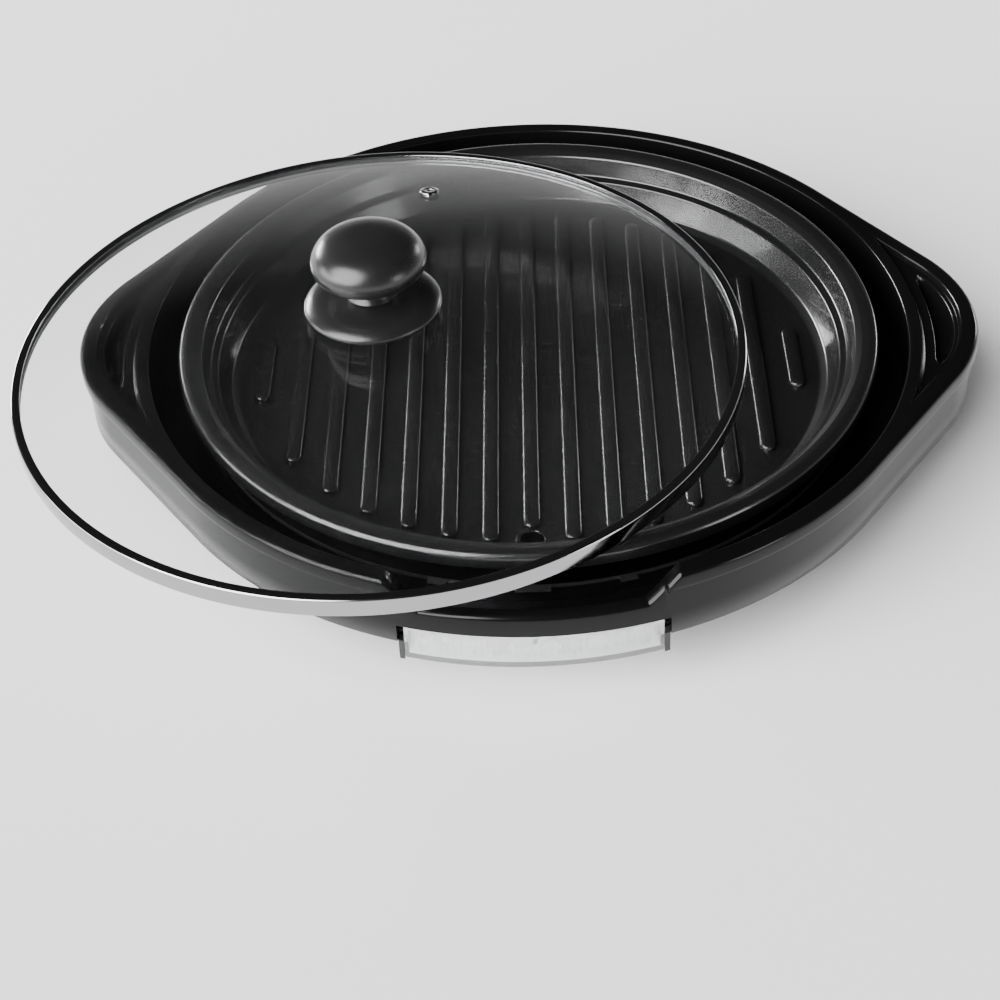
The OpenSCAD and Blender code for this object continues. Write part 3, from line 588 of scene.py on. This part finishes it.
slot_angle = math.asin(slot_half / (base_r - bead_step))
columns = [math.tau * k / grid_columns for k in range(grid_columns)]
for side in (-1, 1):
    place = 1.5 * math.pi + side * slot_angle
    columns += [place - slot_step, place + slot_step]
    flare = math.asin((notch_half + notch_flare / 2) / base_r)
    columns += [1.5 * math.pi + side * (flare + math.radians(0.5 * k + 0.125 * j))
                for k in range(-7, 7) for j in (1, 2, 3)]
columns.sort()
bm = bmesh.new()
grid = []
for angle in columns:
    slotted = abs(angle - 1.5 * math.pi) < slot_angle
    points = housing_section(angle, slotted)
    grid.append([bm.verts.new((r * math.cos(angle) * MM, r * math.sin(angle) * MM, z * MM)) for r, z in points])
for left, right in zip(grid, grid[1:] + grid[:1]):
    for k in range(len(left)):
        nxt = (k + 1) % len(left)
        bm.faces.new((left[k], right[k], right[nxt], left[nxt]))
bmesh.ops.remove_doubles(bm, verts=bm.verts, dist=2e-6)
bmesh.ops.recalc_face_normals(bm, faces=bm.faces)
fit_out(mesh_object("housing", bm), housing_black, "base", "black_plastic", "base_shell", angle=40)

# %% [markdown]
# ## The ribs, with Geometry Nodes
# Fifteen ribs stand on the cooking floor, all of one section and spacing, and each ends on the same circle. This
# is what Geometry Nodes are for: one small grid is placed on a row of points, and fields bend each copy into a
# crowned bar whose length follows from where it stands. Drawing fifteen bars by hand would be slow to change; an
# Array modifier could not vary their length. The middle rib stops early, to leave room for the drain.

# %% Build the rib tree
def add_node(tree, kind, **settings):
    node = tree.nodes.new(kind)
    for key, value in settings.items():
        setattr(node, key, value)
    return node


ribs = bpy.data.node_groups.new("rib_field", "GeometryNodeTree")
ribs.interface.new_socket("Geometry", in_out="INPUT", socket_type="NodeSocketGeometry")
rib_inputs = {}
for label, kind in (("Pairs of ribs", "NodeSocketInt"), ("Spacing", "NodeSocketFloat"),
                    ("Width", "NodeSocketFloat"), ("Height", "NodeSocketFloat"),
                    ("End circle", "NodeSocketFloat"), ("Middle rib stops at", "NodeSocketFloat"),
                    ("Floor height", "NodeSocketFloat"), ("Finish", "NodeSocketMaterial")):
    rib_inputs[label] = ribs.interface.new_socket(label, in_out="INPUT", socket_type=kind).identifier
ribs.interface.new_socket("Geometry", in_out="OUTPUT", socket_type="NodeSocketGeometry")
source = ribs.nodes.new("NodeGroupInput").outputs
sink = ribs.nodes.new("NodeGroupOutput")


def rib_math(operation, a, b=None, c=None, clamp=False):
    return math_node(ribs, operation, a, b, c, clamp)


count = rib_math("ADD", rib_math("MULTIPLY", source["Pairs of ribs"], 2), 1)
first_x = rib_math("MULTIPLY", rib_math("MULTIPLY", source["Pairs of ribs"], source["Spacing"]), -1)
start_at = add_node(ribs, "ShaderNodeCombineXYZ")
ribs.links.new(first_x, start_at.inputs["X"])
step_by = add_node(ribs, "ShaderNodeCombineXYZ")
ribs.links.new(source["Spacing"], step_by.inputs["X"])
row = add_node(ribs, "GeometryNodeMeshLine")
ribs.links.new(count, row.inputs["Count"])
ribs.links.new(start_at.outputs[0], row.inputs["Start Location"])
ribs.links.new(step_by.outputs[0], row.inputs["Offset"])
where = add_node(ribs, "GeometryNodeInputPosition").outputs[0]
split = add_node(ribs, "ShaderNodeSeparateXYZ")
ribs.links.new(where, split.inputs[0])
keep_x = add_node(ribs, "GeometryNodeStoreNamedAttribute", data_type="FLOAT", domain="POINT")
keep_x.inputs["Name"].default_value = "rib_x"
ribs.links.new(row.outputs["Mesh"], keep_x.inputs["Geometry"])
ribs.links.new(split.outputs["X"], keep_x.inputs["Value"])

bar = add_node(ribs, "GeometryNodeMeshGrid")
bar.inputs["Size X"].default_value = 1
bar.inputs["Size Y"].default_value = 1
bar.inputs["Vertices X"].default_value = 29
bar.inputs["Vertices Y"].default_value = 41
copies = add_node(ribs, "GeometryNodeInstanceOnPoints")
ribs.links.new(keep_x.outputs["Geometry"], copies.inputs["Points"])
ribs.links.new(bar.outputs["Mesh"], copies.inputs["Instance"])
real = add_node(ribs, "GeometryNodeRealizeInstances")
ribs.links.new(copies.outputs["Instances"], real.inputs["Geometry"])

# %% [markdown]
# Each copy starts as a unit square. Its X becomes an angle round the bar and its Y the way along it. Near the
# ends, width and height shrink like a quarter circle, which gives the rounded ends of a real casting.

# %% Shape each rib with fields
read_x = add_node(ribs, "GeometryNodeInputNamedAttribute", data_type="FLOAT")
read_x.inputs["Name"].default_value = "rib_x"
rib_x = read_x.outputs["Attribute"]
round_angle = rib_math("MULTIPLY", rib_math("SUBTRACT", split.outputs["X"], rib_x), math.tau)
along = rib_math("SINE", rib_math("MULTIPLY", split.outputs["Y"], math.pi))
reach_sq = rib_math("SUBTRACT", rib_math("POWER", source["End circle"], 2.0), rib_math("POWER", rib_x, 2.0))
back_tip = rib_math("SQRT", reach_sq)
is_middle = rib_math("LESS_THAN", rib_math("ABSOLUTE", rib_x), rib_math("MULTIPLY", source["Spacing"], 0.5))
shorter = rib_math("MULTIPLY", is_middle, rib_math("SUBTRACT", back_tip, source["Middle rib stops at"]))
front_tip = rib_math("SUBTRACT", back_tip, shorter)
middle_y = rib_math("MULTIPLY", rib_math("SUBTRACT", back_tip, front_tip), 0.5)
half_run = rib_math("MULTIPLY", rib_math("ADD", back_tip, front_tip), 0.5)
rib_y = rib_math("ADD", middle_y, rib_math("MULTIPLY", along, half_run))
to_end = rib_math("MULTIPLY", rib_math("SUBTRACT", 1.0, rib_math("ABSOLUTE", along)), half_run)
half_w = rib_math("MULTIPLY", source["Width"], 0.5)
into_end = rib_math("SUBTRACT", 1.0, rib_math("DIVIDE", to_end, half_w, clamp=True))
taper = rib_math("SQRT", rib_math("SUBTRACT", 1.0, rib_math("POWER", into_end, 2.0), clamp=True))
sideways = rib_math("MULTIPLY", rib_math("MULTIPLY", rib_math("SINE", round_angle), half_w), taper)
lift = rib_math("COSINE", round_angle)
crown = rib_math("MULTIPLY", rib_math("POWER", rib_math("MAXIMUM", lift, 0.0), 0.42), source["Height"])
keel = rib_math("MULTIPLY", rib_math("MINIMUM", lift, 0.0), 0.0004)
soft_end = rib_math("POWER", taper, 0.6)
rib_z = rib_math("ADD", source["Floor height"],
                 rib_math("ADD", rib_math("MULTIPLY", crown, soft_end), keel))
target = add_node(ribs, "ShaderNodeCombineXYZ")
ribs.links.new(rib_math("ADD", rib_x, sideways), target.inputs["X"])
ribs.links.new(rib_y, target.inputs["Y"])
ribs.links.new(rib_z, target.inputs["Z"])
bend = add_node(ribs, "GeometryNodeSetPosition")
ribs.links.new(real.outputs["Geometry"], bend.inputs["Geometry"])
ribs.links.new(target.outputs[0], bend.inputs["Position"])
weld = add_node(ribs, "GeometryNodeMergeByDistance")
weld.inputs["Distance"].default_value = 1e-6
ribs.links.new(bend.outputs["Geometry"], weld.inputs["Geometry"])
coat = add_node(ribs, "GeometryNodeSetMaterial")
ribs.links.new(weld.outputs["Geometry"], coat.inputs["Geometry"])
ribs.links.new(source["Finish"], coat.inputs["Material"])
ribs.links.new(coat.outputs["Geometry"], sink.inputs["Geometry"])
print("rib_field", len(ribs.nodes), "nodes")

# %% [markdown]
# The tree is given its sizes by name, worked out once, and kept as a plain mesh, because the ribs are about to
# become part of the plate.

# %% Make the ribs
plate_depth = 27
floor_z = rim_z - plate_depth
rib_end_r = plate_r - 37
drain_y = -rib_end_r + 2.5
drain_r = 5.5
rib_pitch = 18.7
rib_maker = mesh_object("rib_maker", bmesh.new())
tree_on = rib_maker.modifiers.new("ribs", "NODES")
tree_on.node_group = ribs
for label, value in (("Pairs of ribs", int((rib_end_r - 2) / rib_pitch)), ("Spacing", rib_pitch * MM),
                     ("Width", 8 * MM), ("Height", 3 * MM), ("End circle", rib_end_r * MM),
                     ("Middle rib stops at", (-drain_y - drain_r - 2) * MM), ("Floor height", floor_z * MM),
                     ("Finish", coating)):
    tree_on[rib_inputs[label]] = value
rib_bars = baked(rib_maker, "rib_bars")
print("ribs:", len(rib_bars.data.polygons), "faces")

# %% [markdown]
# ## The plate
# The plate is die-cast aluminium with a dark glossy coating: a flat floor, a wall with one step, and a rim that
# turns down. It is a turned shape, so the lathe makes it, with every corner rounded to catch the light. Then the
# drain is cut, because a hole is the one thing a lathe can't leave off-centre, and the collar and spout are
# small turned rings set round it. Ribs and rings join the plate as one piece, since they are one casting.

# %% Turn the plate
plate_section = rounded([
    (0, floor_z, 0), (plate_r - 27, floor_z, 3), (plate_r - 23, floor_z + 2.5, 3),
    (plate_r - 18, rim_z - 13, 1.5),
    (plate_r - 14.5, rim_z - 12, 2), (plate_r - 11.5, rim_z - 2.6, 2), (plate_r - 8, rim_z - 0.7, 2.5),
    (plate_r - 4, rim_z + 0.3, 5), (plate_r - 1.2, rim_z - 0.5, 2), (plate_r, rim_z - 2.2, 2),
    (plate_r, rim_z - 8, 0.8),
    (plate_r - 2.4, rim_z - 8, 0.8), (plate_r - 2.4, rim_z - 2.8, 0.5), (plate_r - 7.4, rim_z - 2.8, 0.5),
    (plate_r - 8.4, rim_z - 3.7, 0.5), (plate_r - 11.6, rim_z - 14.2, 1), (plate_r - 15.4, rim_z - 15.2, 1),
    (plate_r - 20.4, floor_z + 0.6, 1), (plate_r - 24, floor_z - 3, 1), (0, floor_z - 3, 0)])
plate = mesh_object("ribbed_plate", lathe(plate_section, 240))
drill = lathe([Vector(p) for p in ((0, 30), (drain_r, 30), (drain_r, 60), (0, 60))], 48)
bmesh.ops.translate(drill, verts=drill.verts, vec=(0, drain_y * MM, 0))
plate = carve(plate, mesh_object("drain_drill", drill))

# %% [markdown]
# The collar round the drain stands a little above the floor, so only fat that has collected runs off. Its lower
# end is the spout over the tray.

# %% Join ribs, collar and spout
collar = lathe(rounded([(drain_r, floor_z - 7.5, 0.4), (drain_r + 2.2, floor_z - 7.5, 0.4),
                        (drain_r + 2.2, floor_z + 1.2, 1.0), (drain_r, floor_z + 1.2, 0.6)]), 48)
bmesh.ops.translate(collar, verts=collar.verts, vec=(0, drain_y * MM, 0))
ring = mesh_object("drain_ring", collar)
bm = bmesh.new()
for part in (plate, rib_bars, ring):
    bm.from_mesh(part.data)
bpy.data.objects.remove(rib_bars)
bpy.data.objects.remove(ring)
bm.to_mesh(plate.data)
bm.free()
fit_out(plate, coating, "plate", "nonstick_aluminium", "grill_plate", angle=38)

# %% [markdown]
# ## Where the lid lies
# The lid rests off centre and leans a little, so its pieces are made upright round their own axis and then
# placed together. The box of the steel band tells everything: its middle gives the place, and its extra height
# over that of a level band gives the lean. Placing the vertices, and not the object, keeps every finished piece
# at the origin, as the frame expects.

# %% Lid placement
lid_r = plate_r + 5
dome_gap = 1.7
glass_t = 4
lid_rise = 26
band_w = 4.5
glass_edge_r = lid_r - 1.2
glass_edge_z = 2.5
dome_r = (glass_edge_r ** 2 + lid_rise ** 2) / (2 * lid_rise)
dome_z = glass_edge_z + lid_rise - dome_r
band_h = dome_z + math.sqrt((dome_r + glass_t) ** 2 - (lid_r - band_w) ** 2) + dome_gap
band_middle = [(a + b) / 2 for a, b in zip(band_low, band_high)]
lean = math.asin((band_high[2] - band_low[2] - band_h) / (2 * lid_r))
lean_to = math.atan2(band_middle[1], band_middle[0])
turn = Matrix.Rotation(lean_to, 4, "Z")
tilt = turn @ Matrix.Rotation(lean, 4, "Y") @ turn.inverted()
half_up = tilt @ Vector((0, 0, band_h / 2 * MM))
lid_place = Matrix.Translation(Vector(band_middle) * MM - half_up) @ tilt
outer_apex = glass_edge_z + lid_rise + glass_t
print(f"lid {math.hypot(*band_middle[:2]):.0f} mm off centre, leaning {math.degrees(lean):.2f} degrees")


def lid_piece(name, bm, material, slot, *nodes, angle=soft_limit):
    bmesh.ops.transform(bm, matrix=lid_place, verts=bm.verts)
    return fit_out(mesh_object(name, bm), material, "lid", slot, *nodes, angle=angle)


# %% [markdown]
# ## Glass dome and steam eyelet
# The dome is a shallow slice of a sphere, 4 mm thick, with a hole for the knob in its middle and a small one for
# the steam. Its edge is ground round. Two arcs and a lathe give it; a solidified surface would not close its edge
# so well. The eyelet is a turned steel rivet that follows the slope of the dome where it sits.

# %% Dome
knob_hole_r = 4
ground_edge = 1.2


def dome_arc(radius, edge, steps=40):
    radii = [knob_hole_r + (edge - knob_hole_r) * k / steps for k in range(steps + 1)]
    return [(r, dome_z + math.sqrt(radius ** 2 - r ** 2)) for r in radii]


outer = dome_arc(dome_r + glass_t, glass_edge_r - ground_edge)
inner = dome_arc(dome_r, glass_edge_r - ground_edge)
edge_mid = (outer[-1][1] + inner[-1][1]) / 2
edge_half = (outer[-1][1] - inner[-1][1]) / 2
edge_bow = [(glass_edge_r - ground_edge + ground_edge * math.cos(a), edge_mid + edge_half * math.sin(a))
            for a in (math.pi / 2 - math.pi * k / 8 for k in range(1, 8))]
dome = mesh_object("glass_dome_raw", lathe([Vector(p) for p in outer + edge_bow + inner[::-1]], 256))

print(f"dome {glass_t} mm thick, {lid_rise} mm high inside")

# %% [markdown]
# The eyelet's place comes from the middle of its box, turned back into the lid's own directions. From there its
# distance from the axis gives the slope of the dome, and so the way the rivet points.

# %% Steam hole and eyelet
vent_mid = lid_place.inverted() @ (sum((Vector(v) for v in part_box("steam_vent")), Vector()) / 2)
vent_r = math.hypot(vent_mid.x, vent_mid.y) / MM
vent_tilt = math.asin(vent_r / (dome_r + glass_t / 2))
vent_turn = math.atan2(vent_mid.y, vent_mid.x)
on_dome = (Matrix.Translation((0, 0, dome_z * MM)) @ Matrix.Rotation(vent_turn, 4, "Z")
           @ Matrix.Rotation(vent_tilt, 4, "Y") @ Matrix.Translation((0, 0, dome_r * MM)))
drill = lathe([Vector(p) for p in ((0, -5), (2.6, -5), (2.6, 10), (0, 10))], 32)
bmesh.ops.transform(drill, matrix=on_dome, verts=drill.verts)
dome = carve(dome, mesh_object("steam_drill", drill))
dome.data.transform(lid_place)
dome.name = "glass_dome"
fit_out(dome, lid_glass, "lid", "lid_glass", "lid_glass", angle=30)
eyelet = lathe(rounded([(1.7, -0.8, 0.2), (3.7, -0.8, 0.3), (3.7, -0.1, 0.3), (2.5, -0.1, 0.1),
                        (2.5, glass_t + 0.1, 0.1), (5, glass_t + 0.1, 0.2), (4.9, glass_t + 0.6, 0.5),
                        (3.6, glass_t + 1, 0.6), (1.7, glass_t + 0.9, 0.6)]), 48)
bmesh.ops.transform(eyelet, matrix=on_dome, verts=eyelet.verts)
lid_piece("steam_eyelet", eyelet, band_steel, "polished_steel", "steam_vent")

# %% [markdown]
# ## Steel band
# A strip of polished stainless steel is rolled round the edge of the glass and folded over it above and below.
# Seen in section it is a C, and the soft outer corners of the fold carry the bright line round the lid.

# %% Roll the band
fold = lid_r - band_w
band_r = lid_r - 0.03
band = lathe(rounded([(fold, 0, 0.3), (band_r, 0, 1.2), (band_r, band_h, 1.4), (fold, band_h, 0.4),
                      (fold, band_h - 1, 0.3), (lid_r - 1, band_h - 1, 0.5), (lid_r - 1, 1, 0.5),
                      (fold, 1, 0.3)]), 256)
lid_piece("steel_band", band, band_steel, "polished_steel", "lid_rim_band", angle=50)

# %% [markdown]
# ## The knob
# The knob is a mushroom: a flared disc that keeps fingers off the hot glass, and a broad cap that narrows to a
# neck. Both are turned shapes without a flat anywhere, so a smooth curve is drawn through a few points of each
# section. Rounded corners between straight lines would show as faint facets in the highlight.

# %% Turn the knob
knob_r = 27
disc_r = 32.5
washer_t = 1
disc_h = 8.5
disc_low = outer_apex + washer_t
cap_low = disc_low + disc_h


def flowing(points, steps=8):
    """A smooth curve through the points."""
    ends = [points[0]] + points + [points[-1]]
    curve = []
    for p0, p1, p2, p3 in zip(ends, ends[1:], ends[2:], ends[3:]):
        p0, p1, p2, p3 = Vector(p0), Vector(p1), Vector(p2), Vector(p3)
        for t in (k / steps for k in range(steps)):
            curve.append(0.5 * (2 * p1 + (p2 - p0) * t + (2 * p0 - 5 * p1 + 4 * p2 - p3) * t * t
                                + (3 * p1 - p0 - 3 * p2 + p3) * t ** 3))
    return curve + [Vector(points[-1])]


# the disc, low edge first
saucer = flowing([(disc_r - 2.4, disc_low), (disc_r - 0.6, disc_low + 0.8), (disc_r, disc_low + 2.3),
                  (disc_r - 1.2, disc_low + 4.1), (disc_r - 4.2, disc_low + 6.0), (disc_r - 8.5, disc_low + 7.3),
                  (disc_r - 14, disc_low + 8.0), (15, disc_low + 8.3), (12.5, cap_low)])
knob_flare = lathe([Vector((3, disc_low))] + saucer + [Vector((3, cap_low))], 160)
lid_piece("knob_flare", knob_flare, knob_black, "knob_plastic", "knob_disc", angle=60)
# the cap, neck first
crown_curve = flowing([(12.4, cap_low), (10.6, cap_low + 3.2), (10.9, cap_low + 6.2), (14.5, cap_low + 9),
                 (20.5, cap_low + 10.6), (25.2, cap_low + 12.8), (knob_r, cap_low + 16.8),
                 (26.2, cap_low + 21.3), (23, cap_low + 25.8), (18, cap_low + 28.9), (10, cap_low + 31),
                 (0, cap_low + 31.5)])
cap = lathe([Vector((0, cap_low))] + crown_curve, 160)
lid_piece("knob_top", cap, knob_black, "knob_plastic", "knob_cap", angle=60)

# %% [markdown]
# ## The drip tray
# The tray is moulded in clear plastic: a shallow basin whose front wall stands higher and follows the curve of
# the housing. The outside and the hollow are each swept from side to side, column by column, so both follow the
# same arc; one is cut from the other, and a Bevel modifier breaks the edges, which is what makes a clear moulding
# read as plastic and not as air.

# %% Sweep the tray
tray_wall = 2
front_wall = 2.4
sweep_steps = 48


def tray_y(x, r):
    return -math.sqrt(r * r - x * x)


def swept(half, profile):
    """A closed solid whose section in Y and Z, given for each x, runs from -half to +half."""
    bm = bmesh.new()
    rows = []
    for k in range(sweep_steps + 1):
        x = -half + 2 * half * k / sweep_steps
        rows.append([bm.verts.new((x * MM, y * MM, z * MM)) for y, z in profile(x)])
    for left, right in zip(rows, rows[1:]):
        for i in range(len(left)):
            nxt = (i + 1) % len(left)
            bm.faces.new((left[i], right[i], right[nxt], left[nxt]))
    bm.faces.new(rows[0])
    bm.faces.new(rows[-1])
    bmesh.ops.recalc_face_normals(bm, faces=bm.faces)
    return bm


front_r = -tray_low[1]
half_tray = tray_high[0]
basin_top = skirt_z - 0.5
low, high, back = tray_low[2], tray_high[2], tray_high[1]
outside = swept(half_tray, lambda x: [
    (tray_y(x, front_r), low), (tray_y(x, front_r), high), (tray_y(x, front_r - front_wall), high),
    (tray_y(x, front_r - front_wall), basin_top), (back, basin_top), (back, low)])
hollow = swept(half_tray - tray_wall, lambda x: [
    (tray_y(x, front_r - front_wall), low + tray_wall), (tray_y(x, front_r - front_wall), high + 10),
    (back - tray_wall, high + 10), (back - tray_wall, low + tray_wall)])
tray = carve(mesh_object("clear_tray", outside), mesh_object("tray_hollow", hollow))
soften = tray.modifiers.new("soften", "BEVEL")
soften.width = 0.6 * MM
soften.segments = 2
soften.limit_method = "ANGLE"
soften.angle_limit = math.radians(40)
tray.name = "clear_tray_raw"
tray = baked(tray, "clear_tray")
fit_out(tray, tray_plastic, "tray", "clear_plastic", "drip_tray", angle=40)

# %% [markdown]
# ## Finishes on the carried-over nodes
# Screws, feet, the reflector, the heating ring and the wiring have their true shape already in the frame. They
# only need the right finish in their material slots. A table from finish to nodes says it plainly and is easy to
# check against the real thing.

# %% Dress the nodes
dressed = {
    matt_black: ["bottom_cover", "tray_bay"],
    screw_steel: ["cover_screws", "foot_screws", "reflector_screws", "inlet_screws", "bay_screws", "knob_screw",
                  "screw_washer"],
    foot_rubber: ["rubber_feet"],
    seal_rubber: ["lid_seal", "knob_washers"],
    dish_shade_steel: ["reflector_dish"],
    bright_steel: ["plate_supports", "element_clips", "terminal_bracket", "limiter_bracket"],
    tube_steel: ["heating_element"],
    ceramic: ["terminal_block", "thermal_limiter", "thermal_fuse"],
    inlet_black: ["inlet_housing"],
    pin_nickel: ["inlet_pins"],
    sleeve: ["internal_wires"],
    earth_green: ["earth_wire"],
    insert_brass: ["knob_insert"],
}
for material, names in dressed.items():
    for name in names:
        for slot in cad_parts[name].material_slots:
            slot.material = material
print("dressed nodes:", sum(len(names) for names in dressed.values()))

# %% [markdown]
# ## Floor
# A plain pale table top, large enough to fill the view. It is marked as stage, because it is not part of the
# griddle.

# %% Floor
bm = bmesh.new()
bmesh.ops.create_grid(bm, x_segments=4, y_segments=4, size=6)
floor = mesh_object("studio_floor", bm)
floor.data.materials.append(finish("studio_floor_white", (0.9, 0.9, 0.9), 0.9, 0.1, 40, 0.02, 0.0))
floor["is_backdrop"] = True
print("floor", floor.dimensions.x, "m wide")

# %% [markdown]
# ## Light
# A glossy black thing is drawn by what it mirrors, so the room matters more than the lamps. The floor and the
# horizon are white and the room above is dark: the glass lid then stays clear, while edges and walls pick up
# long pale reflections. A wide soft sun from the front left whitens the floor and shapes the knob. A low box at
# the back left draws the thin line along each rib, and two weaker ones at the right brighten rim and knob.

# %% Studio lights
def softbox(name, place, aim, size, power):
    light = bpy.data.lights.new(name, "AREA")
    light.shape = "RECTANGLE"
    light.size, light.size_y = size
    light.energy = power
    lamp = bpy.data.objects.new(name, light)
    lamp.location = place
    lamp.rotation_euler = (Vector(aim) - Vector(place)).to_track_quat("-Z", "Y").to_euler()
    bpy.context.scene.collection.objects.link(lamp)


sun = bpy.data.lights.new("front_glow", "SUN")
sun.angle = math.radians(56)
sun.energy = 10.5
sun_lamp = bpy.data.objects.new("front_glow", sun)
sun_lamp.rotation_euler = (math.radians(56), 0, math.radians(-48))
bpy.context.scene.collection.objects.link(sun_lamp)
softbox("rib_box", (-1.63, 1.68, 0.46), (0, 0, 0.05), (0.8, 0.3), 48)
softbox("wall_box", (-2.0, -0.35, 0.42), (0.1, 0, 0.05), (1.5, 0.5), 26)
softbox("knob_box", (1.3, -0.9, 0.45), (-0.07, 0, 0.1), (0.4, 0.4), 4)
softbox("rim_box", (1.75, 1.75, 0.5), (0, 0, 0.05), (0.5, 0.3), 9)
world = bpy.data.worlds.new("dark_room_white_horizon")
world.use_nodes = True
tree = world.node_tree
view_line = tree.nodes.new("ShaderNodeTexCoord")
height = tree.nodes.new("ShaderNodeSeparateXYZ")
tree.links.new(view_line.outputs["Generated"], height.inputs[0])
glow = math_node(tree, "SUBTRACT", 1.0, math_node(tree, "DIVIDE", height.outputs["Z"], 0.45), clamp=True)
glow = math_node(tree, "ADD", math_node(tree, "MULTIPLY", math_node(tree, "POWER", glow, 1.5), 0.75), 0.03)
tree.links.new(glow, tree.nodes["Background"].inputs["Strength"])
tree.nodes["Background"].inputs["Color"].default_value = (1, 1, 1, 1)
bpy.context.scene.world = world

# %% [markdown]
# ## Camera
# The camera looks down at the front from about forty degrees, with a slightly long lens, turned a little to the
# left and rolled so that the right side dips. It is built from those plain angles, which are easier to read and
# to change than a matrix.

# %% Camera
look_down = math.radians(40.68)
look_left = math.radians(1.92)
roll = math.radians(3.02)
aim = Vector((-0.0134, -0.1316, 0.070))
away = 0.934
forward = Vector((-math.sin(look_left) * math.cos(look_down), math.cos(look_left) * math.cos(look_down),
                  -math.sin(look_down)))
level_right = Vector((math.cos(look_left), math.sin(look_left), 0))
level_up = level_right.cross(forward)
right = level_right * math.cos(roll) - level_up * math.sin(roll)
up = right.cross(forward)
camera_data = bpy.data.cameras.new("griddle_camera")
camera_data.lens = 76.1
camera_data.sensor_width = 36
camera = bpy.data.objects.new("griddle_camera", camera_data)
spot = aim - forward * away
camera.matrix_world = Matrix((
    (right.x, up.x, -forward.x, spot.x), (right.y, up.y, -forward.y, spot.y),
    (right.z, up.z, -forward.z, spot.z), (0, 0, 0, 1)))
bpy.context.scene.collection.objects.link(camera)
bpy.context.scene.camera = camera
print("camera at", [round(v, 4) for v in spot])

# %% [markdown]
# ## Size of the dressed model
# The dressed model must fill the same box as the imported one; the cell prints both boxes.

# %% Finish
def plain(bounds):
    return [[float(v) for v in corner] for corner in bounds]


sizes = {"cad": plain(cad_box), "visual": plain(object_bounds())}
for label, corners in sizes.items():
    print(label, [[round(v / MM, 1) for v in corner] for corner in corners])
